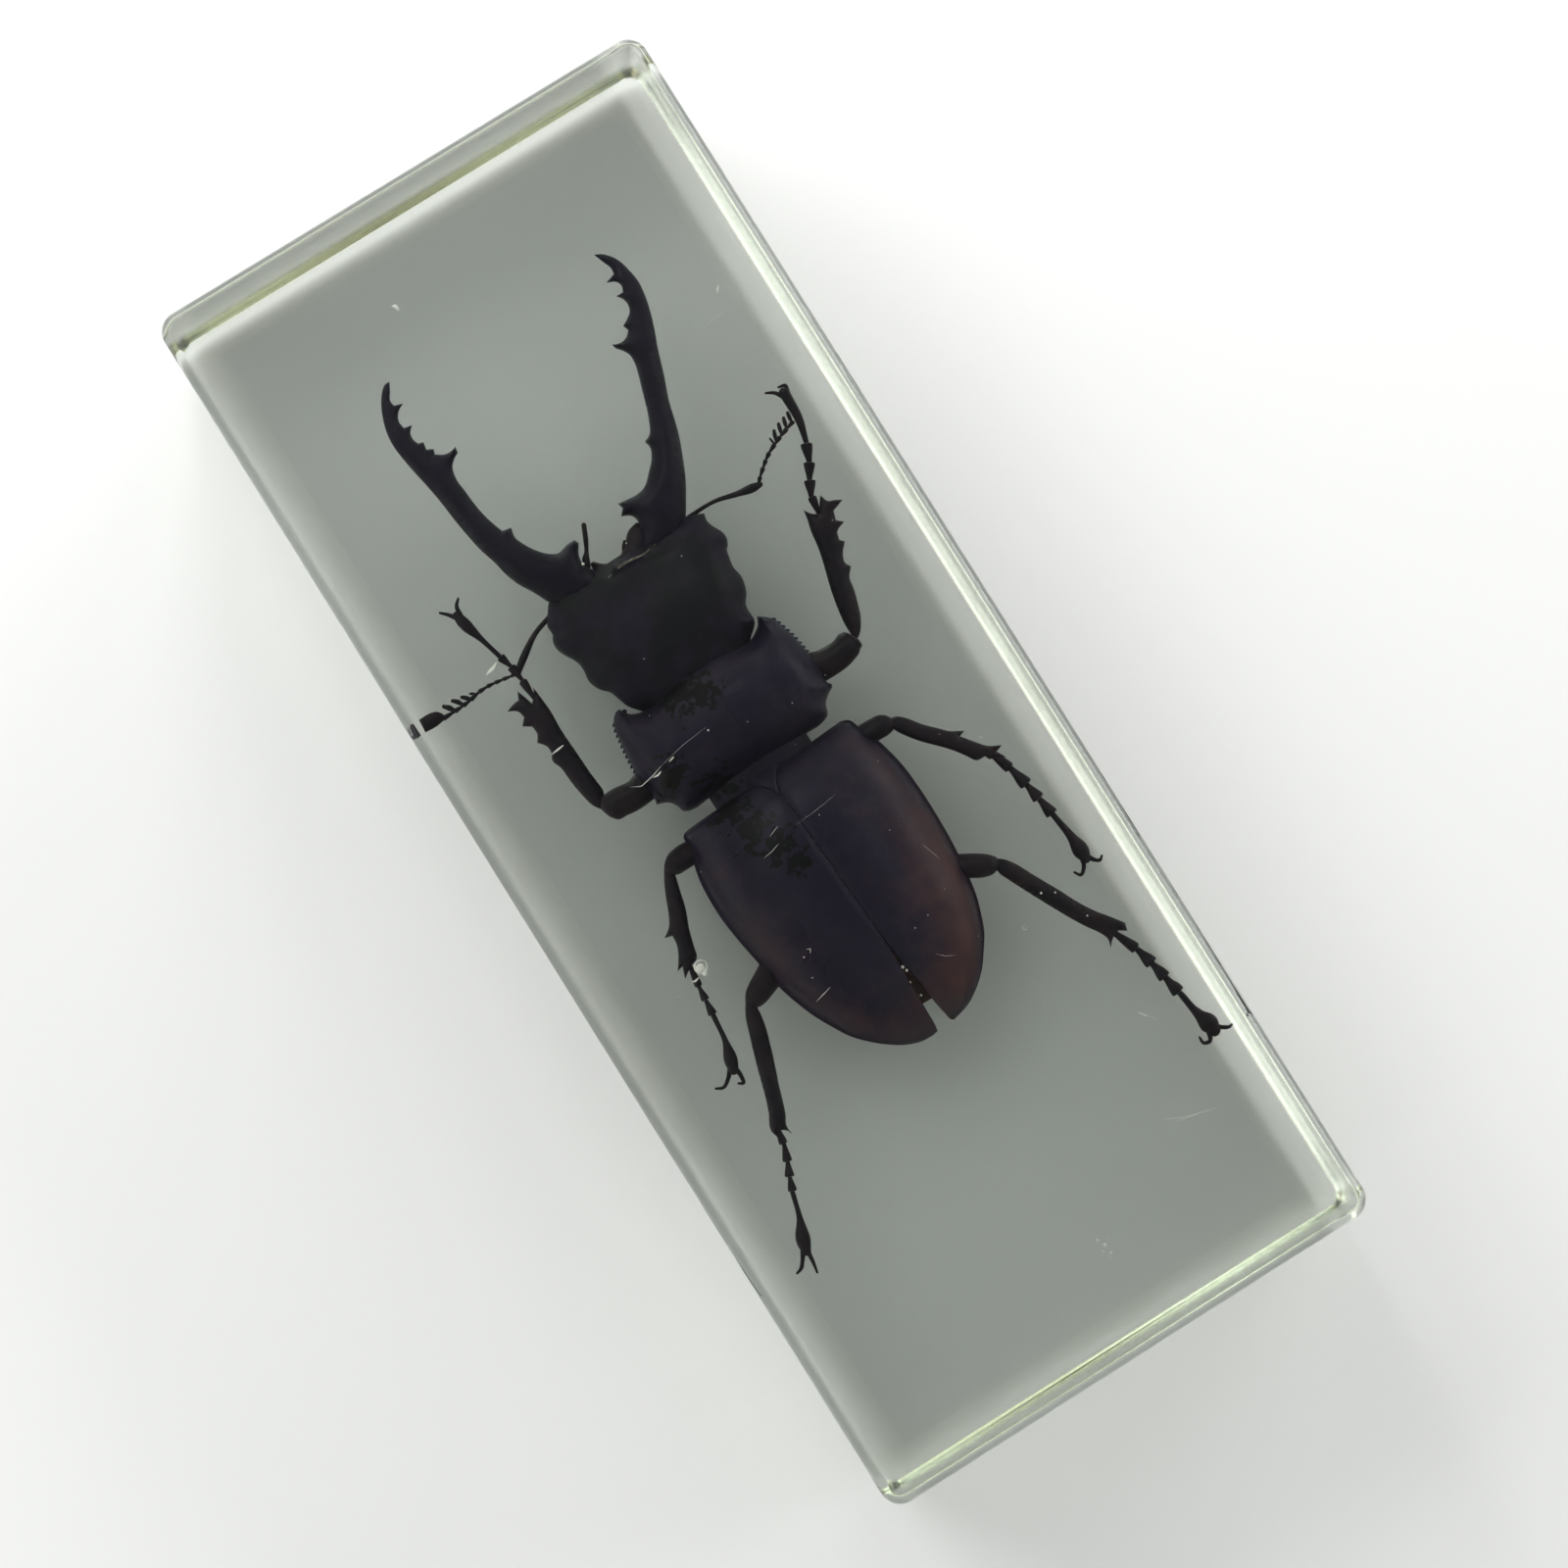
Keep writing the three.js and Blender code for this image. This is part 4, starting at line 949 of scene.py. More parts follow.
# %% The six legs
# A thigh is rows of upper x and y, lower x and y, height, depth and how far it lies below the
# sides. A shin is an outline with its spines. Paths run outwards: x, y and width.
LEGS = {
    "right_fore_leg": {
        "thigh": [[3.0, 5.2, 3.4, 3.2, 0.8, 0.8, 1.7], [8.0, 6.0, 8.0, 3.25, 1.15, 1.15, 0.5],
                  [9.0, 5.7, 9.7, 3.25, 1.1, 1.1, 0.3], [10.4, 5.68, 10.9, 3.45, 1.0, 1.0, 0.1],
                  [11.3, 5.88, 11.9, 3.95, 0.9, 0.9, 0], [11.75, 5.6, 12.25, 4.5, 0.6, 0.6, 0],
                  [11.95, 5.3, 12.2, 4.9, 0.3, 0.3, 0]],
        "shin": [[11.9, 5.67], [12.1, 7.67], [12.5, 9.5], [13.0, 11.2], [13.4, 12.8],
                 [13.6, 14.2], [13.85, 15.1], [14.0, 15.95], [14.45, 15.3], [14.9, 15.0],
                 [15.3, 15.6], [15.8, 16.25], [16.1, 15.5], [16.5, 15.35], [17.15, 14.97],
                 [16.05, 14.6], [15.8, 13.85], [16.3, 13.4], [15.4, 13.0], [15.2, 12.35],
                 [15.5, 12.0], [14.87, 11.3], [14.6, 10.5], [14.85, 10.03], [14.25, 9.3],
                 [14.1, 8.5], [13.75, 7.3], [13.2, 5.9], [12.5, 5.0], [12.0, 4.7]],
        "foot": [[14.9, 15.0, 0.7], [15.15, 16.6, 0.75], [15.75, 17.8, 0.95],
                 [16.5, 19.05, 0.95], [17.1, 20.5, 1.0]],
        "last": [[17.1, 20.4, 0.42], [17.6, 22.3, 0.7], [17.75, 24.8, 0.95]],
        "claws": [[[17.5, 24.6], [17.1, 25.2], [16.45, 25.6]],
                  [[17.95, 24.6], [18.15, 25.3], [17.6, 25.45]]],
    },
    "left_fore_leg": {
        "thigh": [[-3.4, 4.6, -3.4, 2.7, 0.8, 0.8, 1.7], [-8.5, 5.15, -8.5, 2.5, 1.15, 1.15, 0.5],
                  [-9.6, 4.8, -9.9, 2.4, 1.1, 1.1, 0.3], [-11.0, 4.95, -11.0, 2.5, 1.0, 1.0, 0.1],
                  [-11.83, 4.87, -12.0, 2.7, 0.9, 0.9, 0],
                  [-12.2, 4.75, -12.4, 3.3, 0.7, 0.7, 0], [-12.45, 4.5, -12.6, 3.9, 0.4, 0.4, 0]],
        "shin": [[-11.87, 4.6], [-11.8, 7.0], [-11.87, 9.0], [-11.95, 11.2], [-11.87, 12.8],
                 [-11.95, 14.2], [-12.05, 15.25], [-12.4, 14.6], [-12.83, 14.2],
                 [-13.05, 15.0], [-13.3, 15.65], [-13.6, 15.0], [-14.1, 14.95],
                 [-14.85, 14.7], [-14.1, 14.2], [-13.95, 13.6], [-14.45, 13.02],
                 [-13.8, 12.6], [-13.75, 11.9], [-14.15, 11.28], [-13.63, 10.6],
                 [-13.6, 10.0], [-13.88, 9.43], [-13.6, 8.6], [-13.5, 7.3], [-13.3, 5.8],
                 [-13.0, 4.6], [-12.6, 4.0]],
        "foot": [[-12.45, 14.4, 0.7], [-12.5, 16.3, 0.7], [-12.7, 17.7, 0.75],
                 [-13.02, 18.8, 0.75]],
        "last": [[-13.0, 18.7, 0.4], [-13.5, 20.6, 0.45], [-14.1, 22.8, 0.95],
                 [-14.2, 23.4, 0.7]],
        "claws": [[[-14.3, 23.2], [-14.75, 23.8], [-15.25, 24.3]],
                  [[-13.95, 23.2], [-13.8, 24.1], [-13.4, 24.5]]],
    },
    "right_middle_leg": {
        "thigh": [[3.4, -1.2, 3.4, -2.6, 0.6, 0.6, 2.0], [8.4, -1.15, 8.6, -3.05, 0.85, 0.85, 0.4],
                  [9.5, -1.2, 9.4, -3.08, 0.85, 0.85, 0.2],
                  [10.45, -1.38, 10.4, -3.06, 0.75, 0.75, 0],
                  [10.85, -1.7, 10.85, -2.9, 0.6, 0.6, 0], [11.1, -2.1, 11.1, -2.6, 0.3, 0.3, 0]],
        "shin": [[10.7, -2.0], [11.46, -2.15], [12.1, -2.7], [12.9, -3.77], [13.85, -4.77],
                 [14.46, -5.4], [15.55, -6.05], [15.0, -6.25], [15.7, -7.15], [16.5, -8.1],
                 [17.5, -8.62], [16.85, -8.85], [17.3, -9.7], [16.6, -9.2], [16.0, -9.1],
                 [15.85, -8.7], [15.08, -8.6], [14.6, -7.9], [13.9, -6.9], [13.1, -6.0],
                 [12.15, -5.0], [11.3, -3.9], [10.75, -2.9]],
        "foot": [[16.3, -8.5, 0.7], [17.1, -10.7, 0.95], [17.5, -12.5, 1.15],
                 [17.75, -13.95, 1.1], [18.0, -15.6, 1.1]],
        "last": [[18.0, -15.5, 0.48], [18.3, -17.8, 0.75], [18.37, -19.4, 1.3],
                 [18.37, -19.9, 0.9]],
        "claws": [[[18.15, -19.6], [17.9, -20.4], [17.3, -20.85], [16.97, -20.4]],
                  [[18.5, -19.6], [18.9, -20.4], [19.3, -20.65], [19.6, -20.45]]],
    },
    "left_middle_leg": {
        "thigh": [[-3.4, -2.1, -3.4, -3.5, 0.6, 0.6, 2.0],
                  [-8.1, -1.7, -8.3, -3.7, 0.85, 0.85, 0.4],
                  [-9.3, -1.72, -9.4, -3.72, 0.85, 0.85, 0.2],
                  [-10.2, -2.0, -10.2, -3.66, 0.8, 0.8, 0],
                  [-10.7, -2.46, -10.65, -3.4, 0.55, 0.55, 0],
                  [-10.95, -2.85, -10.9, -3.15, 0.25, 0.25, 0]],
        "shin": [[-10.8, -2.6], [-11.3, -3.4], [-11.9, -4.6], [-12.5, -6.0], [-13.0, -6.85],
                 [-13.78, -7.42], [-13.15, -7.6], [-13.2, -8.3], [-13.7, -9.4],
                 [-14.3, -10.25], [-13.75, -10.1], [-14.12, -11.1], [-13.3, -10.55],
                 [-12.4, -10.15], [-12.1, -9.2], [-11.7, -7.85], [-11.1, -6.4],
                 [-10.7, -4.9], [-10.4, -3.8], [-10.2, -3.0]],
        "foot": [[-13.15, -10.0, 0.7], [-13.5, -12.3, 0.65], [-13.6, -13.45, 0.7],
                 [-13.72, -14.75, 0.75]],
        "last": [[-13.72, -14.65, 0.42], [-14.0, -17.0, 0.5], [-14.45, -18.6, 1.1],
                 [-14.65, -19.3, 0.8]],
        "claws": [[[-14.8, -19.0], [-15.4, -19.65], [-16.1, -20.05], [-16.65, -19.8]],
                  [[-14.5, -19.0], [-14.4, -20.0], [-14.55, -20.6], [-14.9, -20.4]]],
    },
    "right_hind_leg": {
        "thigh": [[4.6, -11.1, 4.0, -12.6, 0.7, 0.7, 2.4],
                  [9.6, -14.05, 8.7, -15.8, 0.95, 0.95, 0.5],
                  [10.4, -14.5, 9.6, -16.35, 0.95, 0.95, 0.3],
                  [11.2, -15.0, 10.6, -16.9, 0.9, 0.9, 0.1],
                  [11.9, -15.55, 11.5, -17.05, 0.75, 0.75, 0],
                  [12.3, -16.0, 12.0, -16.85, 0.45, 0.45, 0]],
        "shin": [[12.1, -16.0], [12.74, -16.5], [13.26, -17.2], [13.86, -18.4], [14.55, -19.76],
                 [15.24, -21.1], [16.0, -22.7], [16.8, -24.0], [17.66, -25.1], [18.3, -26.0],
                 [18.1, -26.65], [17.5, -26.25], [16.9, -26.45], [16.2, -27.1],
                 [16.4, -26.4], [16.1, -25.6], [15.5, -24.7], [14.7, -23.3],
                 [13.86, -21.66], [13.0, -19.9], [12.2, -18.2], [11.75, -17.0]],
        "foot": [[17.0, -26.0, 0.7], [18.0, -28.4, 0.95], [18.4, -30.0, 1.15],
                 [18.7, -31.5, 1.15], [19.0, -33.1, 1.15]],
        "last": [[19.0, -33.0, 0.48], [19.35, -35.2, 0.8], [19.7, -36.6, 1.5],
                 [19.75, -37.1, 1.0]],
        "claws": [[[19.4, -36.8], [18.95, -37.65], [18.5, -37.5], [18.45, -36.95]],
                  [[19.95, -36.8], [20.45, -37.25], [20.9, -37.5], [21.25, -37.45]]],
    },
    "left_hind_leg": {
        "thigh": [[-3.6, -11.0, -4.0, -12.4, 0.7, 0.7, 2.4],
                  [-7.9, -12.9, -7.6, -15.4, 0.95, 0.95, 0.5],
                  [-9.0, -13.55, -8.7, -15.8, 0.95, 0.95, 0.3],
                  [-10.0, -14.12, -9.7, -16.1, 0.85, 0.85, 0.1],
                  [-10.65, -14.65, -10.3, -16.1, 0.7, 0.7, 0],
                  [-10.95, -15.1, -10.75, -15.9, 0.4, 0.4, 0]],
        "shin": [[-10.8, -14.9], [-11.6, -16.2], [-12.0, -17.3], [-12.5, -18.76],
                 [-13.0, -20.3], [-13.5, -22.0], [-14.1, -23.7], [-14.7, -24.97],
                 [-14.55, -25.7], [-14.2, -25.3], [-13.65, -25.6], [-13.33, -26.4],
                 [-13.4, -25.2], [-13.05, -24.6], [-12.6, -23.4], [-12.2, -22.2],
                 [-11.67, -20.8], [-11.07, -19.1], [-10.6, -17.55], [-10.4, -16.2],
                 [-10.4, -15.3]],
        "foot": [[-14.15, -25.0, 0.7], [-14.4, -26.5, 0.72], [-14.9, -27.85, 0.78],
                 [-15.4, -28.95, 0.78], [-15.8, -30.05, 0.75]],
        "last": [[-15.8, -29.95, 0.4], [-16.4, -32.0, 0.5], [-17.2, -33.9, 1.2],
                 [-17.4, -34.6, 0.8]],
        "claws": [[[-17.5, -34.2], [-18.1, -35.1], [-18.55, -35.6], [-19.0, -35.7]],
                  [[-17.3, -34.4], [-17.4, -35.6], [-17.57, -36.5]]],
    },
}
SHIN_HEIGHTS = [[0.0, 0.62, 0.62]]
SHIN_EDGE = 0.75
print(len(LEGS), "legs, with shins of", [len(leg["shin"]) for leg in LEGS.values()], "points")


# %% Making the legs
def claw(path):
    """A hooked claw, thinner towards its point."""
    widths = np.linspace(0.44, 0.2, len(path))
    return tube([[x, y, width] for (x, y), width in zip(path, widths)], 5, 10)


for name, leg in LEGS.items():
    beetle_piece(name, [
        row_skin(leg["thigh"], 6, oval(24)),
        pillow(leg["shin"], SHIN_HEIGHTS, SHIN_EDGE, 0.18, 3),
        *links(leg["foot"]),
        tube(leg["last"], 8, 16),
        *[claw(path) for path in leg["claws"]],
    ], leg_shell)

# %% [markdown]
# ## Feelers and palps
# A stag beetle's feeler is elbowed: a long stalk, a whip of small beads, and at its end a comb of
# leaves, each longer than the one before. The beads are links of the same chain as the feet.

# %% Feelers
FEELERS = {
    "right_feeler": {
        "stalk": [[5.3, 20.3, 0.4], [8.4, 20.3, 0.35], [10.2, 19.85, 0.5], [11.6, 19.6, 0.72],
                  [12.1, 19.55, 0.5]],
        "beads": [[12.0, 19.6, 0.36], [12.5, 20.1, 0.38], [13.1, 20.6, 0.4], [13.6, 21.0, 0.4],
                  [14.15, 21.35, 0.42], [14.9, 21.7, 0.42], [15.6, 21.98, 0.42],
                  [16.4, 22.25, 0.42], [17.2, 22.5, 0.4]],
        "leaves": [[14.85, 21.7, 14.78, 22.35, 0.2], [15.1, 21.8, 15.4, 22.76, 0.34],
                   [15.78, 22.1, 16.0, 23.04, 0.34], [16.38, 22.3, 16.6, 23.24, 0.34],
                   [16.98, 22.45, 17.1, 23.42, 0.34]],
        "plates": [],
    },
    "left_feeler": {
        "stalk": [[-7.9, 19.4, 0.45], [-9.5, 18.9, 0.42], [-11.5, 17.65, 0.62],
                  [-12.5, 16.9, 0.55]],
        "beads": [[-12.4, 16.9, 0.36], [-13.1, 16.95, 0.34], [-13.8, 17.08, 0.35],
                  [-14.5, 17.18, 0.36], [-15.2, 17.25, 0.38], [-16.0, 17.22, 0.4],
                  [-16.9, 17.02, 0.42], [-17.7, 16.95, 0.42], [-18.5, 16.92, 0.44],
                  [-19.6, 16.92, 0.45]],
        "leaves": [[-16.2, 17.15, -16.62, 17.56, 0.24], [-16.8, 17.0, -17.35, 17.72, 0.38],
                   [-17.55, 16.98, -18.12, 17.86, 0.4], [-18.35, 16.95, -18.95, 17.86, 0.44]],
        "plates": [[[-19.2, 16.85], [-19.35, 17.3], [-19.75, 17.72], [-20.2, 17.86],
                    [-21.25, 17.86], [-21.35, 16.72], [-20.2, 16.66]]],
    },
}
print(len(FEELERS), "feelers with", [len(f["leaves"]) for f in FEELERS.values()], "leaves")

# %% Making the feelers and palps
PALPS = {
    "left_palp": [[-3.2, 21.2, 0.5], [-3.0, 21.8, 0.62], [-2.7, 22.2, 0.38], [-2.2, 23.1, 0.42],
                  [-1.68, 24.25, 0.4]],
    "right_palp": [[-0.1, 20.6, 0.4], [0.15, 21.1, 0.3], [0.4, 21.4, 0.22]],
}


def leaf(root_x, root_y, tip_x, tip_y, width):
    """One leaf of the comb: a paddle, wider towards its tip."""
    path = [[root_x, root_y, width * 0.6], [(root_x + tip_x) / 2, (root_y + tip_y) / 2, width],
            [tip_x, tip_y - width / 3, width * 0.8]]
    return tube(path, 4, 12, 0.6)


for name, feeler in FEELERS.items():
    beetle_piece(name, [
        tube(feeler["stalk"], 8, 16),
        *links(feeler["beads"], 0.5, 0.2),
        *[leaf(*row) for row in feeler["leaves"]],
        *[pillow(plate, [[0, 0.35, 0.35]], 0.4, 0.15) for plate in feeler["plates"]],
    ], leg_shell)
for name, path in PALPS.items():
    beetle_piece(name, [tube(path, 6, 14)], leg_shell)

# %% [markdown]
# ## Resin block
# Clear casting resin bends light like glass. Its absorption is a faint green tint that shows most
# over a long way, made strong enough to grey the floor seen through it: painted shade for a dim
# backdrop. The block is one rounded slab, built ring by ring: straight sides with round corners,
# drawn in along a quarter circle at the upper edges, and along the longer curve of the mould's
# bottom at the lower ones. An extra ring close to each round edge keeps the flat faces truly
# flat, because light that passes a clear block shows every dent in its shading.

# %% The block's shape
CORNER_RADIUS = 1.7
EDGE_RADIUS = 0.9  # along the top
LOWER_SIDE_CURVE = (3.5, 1.7)  # how far in and how far up the mould's own rounder edges reach
LOWER_END_CURVE = (2.6, 1.25)
FLAT_MARGIN = 0.12
ARC_STEPS = 14


def arc_inset(reach, rise, z):
    """How far a rounded edge draws in at a height above the face that it starts from."""
    return reach * (1 - math.sqrt(max(1 - max(1 - z / rise, 0) ** 2, 0)))


def block_ring(inset_x, inset_y, z):
    """One closed ring round the block, drawn in at the sides and at the ends."""
    half = (BLOCK_HIGH - BLOCK_LOW) / 2
    radius_x = max(CORNER_RADIUS - inset_x, FLAT_MARGIN)
    radius_y = max(CORNER_RADIUS - inset_y, FLAT_MARGIN)
    centre_x, centre_y = half.x - inset_x - radius_x, half.y - inset_y - radius_y
    ring = []
    for quarter, (sx, sy) in enumerate(((1, 1), (-1, 1), (-1, -1), (1, -1))):
        start = quarter * math.pi / 2
        angles = [start + math.pi / 2 * i / ARC_STEPS for i in range(ARC_STEPS + 1)]
        corner = [(sx * centre_x + radius_x * math.cos(a), sy * centre_y + radius_y * math.sin(a),
                   z) for a in angles]
        along = (FLAT_MARGIN * math.sin(start), FLAT_MARGIN * math.cos(start))
        ring.append((corner[0][0] + along[0], corner[0][1] - along[1], z))
        ring += corner
        ring.append((corner[-1][0] - along[1], corner[-1][1] - along[0], z))
    return ring


def block_skin():
    """The rounded slab, from the base's flat face to the top's."""
    height = BLOCK_HIGH.z - BLOCK_LOW.z
    turns = [1 - math.cos(math.pi / 2 * i / ARC_STEPS) for i in range(ARC_STEPS + 1)]
    low = sorted({round(rise * turn, 6) for _, rise in (LOWER_SIDE_CURVE, LOWER_END_CURVE)
                  for turn in turns})
    levels = [(LOWER_SIDE_CURVE[0] + FLAT_MARGIN, LOWER_END_CURVE[0] + FLAT_MARGIN, 0.0)]
    levels += [(arc_inset(*LOWER_SIDE_CURVE, z), arc_inset(*LOWER_END_CURVE, z), z) for z in low]
    levels.append((0.0, 0.0, low[-1] + FLAT_MARGIN))
    upper = [(EDGE_RADIUS * (1 - math.sqrt(1 - (1 - turn) ** 2)),) * 2
             + (height - EDGE_RADIUS * turn,) for turn in turns]
    levels.append((0.0, 0.0, height - EDGE_RADIUS - FLAT_MARGIN))
    levels += reversed(upper)
    levels.append((EDGE_RADIUS + FLAT_MARGIN,) * 2 + (height,))
    rings = [block_ring(*level) for level in levels]
    sides = len(rings[0])
    faces = [(i * sides + j, i * sides + (j + 1) % sides,
              (i + 1) * sides + (j + 1) % sides, (i + 1) * sides + j)
             for i in range(len(rings) - 1) for j in range(sides)]
    faces.append(tuple(reversed(range(sides))))
    faces.append(tuple(range((len(rings) - 1) * sides, len(rings) * sides)))
    return np.array([point for ring in rings for point in ring]), faces


block = put_in("resin_block", mesh_from("resin_block", *block_skin()))
print("block:", len(block.data.vertices), "points")

# %% [markdown]
# Only the top and the base are polished, and even they are not quite level. The walls keep the
# faint matt look and the fine lines that the mould left, so they get a roughness by their place
# and a bump of stretched noise. Transmission, IOR and absorption are plain values, as for any
# clear thing that is cast in one.

# %% Clear resin
WAVE_DEPTH = 0.04
STREAK_DEPTH = 0.03  # fine lines that the mould's walls left along the sides and ends
STREAKS_FADE = 3.0
WALL_ROUGHNESS = 0.25  # the walls and lower edges are as the mould left them, not polished
MATT_BELOW = 19.4
LOWER_EDGE_BELOW = 2.4
MATT_FADE = 0.4
WALL_FADE = (0.5, 0.2)  # how far inside a wall's plane the matt look sets in and is full
WALLS = [  # axis, where its streaks start, their stretch, the wall, and the lower edge's reach
    ("X", 16.5, (700, 6, 700), BLOCK_HIGH.x, LOWER_SIDE_CURVE[0]),
    ("Y", 50.5, (6, 700, 700), BLOCK_HIGH.y, LOWER_END_CURVE[0]),
]
resin = bpy.data.materials.new("clear resin")
resin.use_nodes = True
resin_tree = resin.node_tree
resin_shader = resin_tree.nodes["Principled BSDF"]
for socket, value in {"Base Color": (1, 1, 1, 1), "Transmission Weight": 1.0, "IOR": 1.55,
                      "Roughness": 0.0}.items():
    resin_shader.inputs[socket].default_value = value
resin_place = add(resin_tree, "ShaderNodeTexCoord").outputs["Object"]
waves = add(resin_tree, "ShaderNodeTexNoise", {"Vector": resin_place, "Scale": 25.0, "Detail": 1.0})
place_parts = add(resin_tree, "ShaderNodeSeparateXYZ", {"Vector": resin_place}).outputs
relief_height = waves.outputs["Fac"]
matt = 0.0
for axis, start, streak_scale, half, reach in WALLS:
    stretched = add(resin_tree, "ShaderNodeVectorMath", {0: resin_place, 1: streak_scale},
                    operation="MULTIPLY")
    streaks = add(resin_tree, "ShaderNodeTexNoise", {
        "Vector": stretched.outputs["Vector"], "Scale": 1.0, "Detail": 2.0,
    })
    from_middle = math_node(resin_tree, "ABSOLUTE", place_parts[axis])
    near_wall = remap(resin_tree, from_middle, start * MM, (start + STREAKS_FADE) * MM)
    streaks_here = math_node(resin_tree, "MULTIPLY", streaks.outputs["Fac"], near_wall)
    relief_height = math_node(resin_tree, "ADD", relief_height, math_node(
        resin_tree, "MULTIPLY", streaks_here, STREAK_DEPTH / WAVE_DEPTH))
    wall = remap(resin_tree, from_middle, *((half - depth) * MM for depth in WALL_FADE))
    lower_edge = math_node(
        resin_tree, "MULTIPLY",
        remap(resin_tree, from_middle, (half - reach) * MM, (half - reach + MATT_FADE) * MM),
        remap(resin_tree, place_parts["Z"], LOWER_EDGE_BELOW * MM,
              (LOWER_EDGE_BELOW - MATT_FADE) * MM))
    matt = math_node(resin_tree, "MAXIMUM", matt, math_node(
        resin_tree, "MAXIMUM", wall, lower_edge))
below_top = remap(resin_tree, place_parts["Z"], MATT_BELOW * MM, (MATT_BELOW - MATT_FADE) * MM)
resin_tree.links.new(math_node(
    resin_tree, "MULTIPLY", math_node(resin_tree, "MULTIPLY", matt, below_top), WALL_ROUGHNESS,
), resin_shader.inputs["Roughness"])
polish = add(resin_tree, "ShaderNodeBump", {
    "Height": relief_height, "Distance": WAVE_DEPTH * MM, "Strength": 1.0,
})
resin_tree.links.new(polish.outputs["Normal"], resin_shader.inputs["Normal"])
# The absorption is the resin's faint green tint, made strong enough to grey the floor seen through
# the block: painted shade for a dim backdrop behind it.
RESIN_TINT_AND_SHADE = (0.768, 0.812, 0.764, 1)
RESIN_SHADE_DENSITY = 36.0  # how strongly the tint shows, per metre of resin
tint_and_shade = add(resin_tree, "ShaderNodeVolumeAbsorption", {
    "Color": RESIN_TINT_AND_SHADE, "Density": RESIN_SHADE_DENSITY,
})
output = resin_tree.nodes["Material Output"]
resin_tree.links.new(tint_and_shade.outputs["Volume"], output.inputs["Volume"])
finish_piece(block, resin, "resin", "resin_lower_half", "resin_upper_half", sharp=60)

# %% [markdown]
# ## Scratches, flecks and bubbles
# A block that is handled gets hairline scratches on its top face, and dust and small bubbles
# were caught in it as it set. The marks are listed where they are seen against the beetle's
# plane, so one that lies higher is drawn towards the point under the camera. Two trees make them:
# one turns lines into hairs that thin out at both ends, and the other sets a speck on each
# listed point and scatters fine dust over the rest.

# %% A tree that makes hairlines
hairlines, h_in, h_out = new_tree("hairlines", "GeometryNodeTree", [
    ("Lines", "geometry", None), ("Points Each", "int", 24), ("Sides", "int", 6),
    ("Material", "material", None),
], [("Hairs", "geometry")])
strokes = add(hairlines, "GeometryNodeMeshToCurve", {"Mesh": h_in["Lines"]})
even_strokes = add(hairlines, "GeometryNodeResampleCurve", {
    "Curve": strokes.outputs["Curve"], "Count": h_in["Points Each"],
})
share = add(hairlines, "GeometryNodeSplineParameter").outputs["Factor"]
hump = math_node(hairlines, "SINE", math_node(hairlines, "MULTIPLY", share, 0.94 * math.pi))
taper = math_node(hairlines, "ADD", math_node(hairlines, "MULTIPLY", hump, 0.42), 0.08)
thickness = add(hairlines, "GeometryNodeInputNamedAttribute", {"Name": "width"},
                data_type="FLOAT").outputs["Attribute"]
hair_profile = add(hairlines, "GeometryNodeCurvePrimitiveCircle", {
    "Resolution": h_in["Sides"], "Radius": 1.0,
})
hairs = add(hairlines, "GeometryNodeCurveToMesh", {
    "Curve": even_strokes.outputs["Curve"], "Profile Curve": hair_profile.outputs["Curve"],
    "Scale": math_node(hairlines, "MULTIPLY", thickness, taper), "Fill Caps": True,
})
hair_coat = add(hairlines, "GeometryNodeSetMaterial", {
    "Geometry": hairs.outputs["Mesh"], "Material": h_in["Material"],
})
hairlines.links.new(hair_coat.outputs["Geometry"], h_out["Hairs"])
print("tree", hairlines.name, "with", len(hairlines.nodes), "nodes")

# %% A tree that sets specks and dust
specks, s_in, s_out = new_tree("specks", "GeometryNodeTree", [
    ("Points", "geometry", None), ("Length", "float", 0.1), ("Width", "float", 0.04),
    ("Height", "float", 0.02), ("Dust Per Square Metre", "float", 20000.0),
    ("Dust Size", "float", 0.00008), ("Seed", "int", 7), ("Material", "material", None),
], [("Specks", "geometry")])
grain_shape = add(specks, "GeometryNodeMeshIcoSphere", {"Radius": 0.5, "Subdivisions": 2})
speck_size = add(specks, "GeometryNodeInputNamedAttribute", {"Name": "width"},
                 data_type="FLOAT").outputs["Attribute"]
listed = add(specks, "GeometryNodeInstanceOnPoints", {
    "Points": s_in["Points"], "Instance": grain_shape.outputs["Mesh"], "Scale": speck_size,
})
sheet = add(specks, "GeometryNodeMeshGrid", {
    "Size X": s_in["Width"], "Size Y": s_in["Length"], "Vertices X": 2, "Vertices Y": 2,
})
sheet_place = add(specks, "ShaderNodeCombineXYZ", {"Z": s_in["Height"]})
raised = add(specks, "GeometryNodeTransform", {
    "Geometry": sheet.outputs["Mesh"], "Translation": sheet_place.outputs["Vector"],
})
dust_points = add(specks, "GeometryNodeDistributePointsOnFaces", {
    "Mesh": raised.outputs["Geometry"], "Density": s_in["Dust Per Square Metre"],
    "Seed": s_in["Seed"],
})
uneven_size = add(specks, "FunctionNodeRandomValue", {
    2: math_node(specks, "MULTIPLY", s_in["Dust Size"], 0.5), 3: s_in["Dust Size"],
    "Seed": s_in["Seed"],
}, data_type="FLOAT")
dust = add(specks, "GeometryNodeInstanceOnPoints", {
    "Points": dust_points.outputs["Points"], "Instance": grain_shape.outputs["Mesh"],
    "Scale": uneven_size.outputs[1],
})
all_specks = add(specks, "GeometryNodeJoinGeometry")
for made in (listed, dust):
    specks.links.new(made.outputs["Instances"], all_specks.inputs["Geometry"])
real_specks = add(specks, "GeometryNodeRealizeInstances", {
    "Geometry": all_specks.outputs["Geometry"],
})
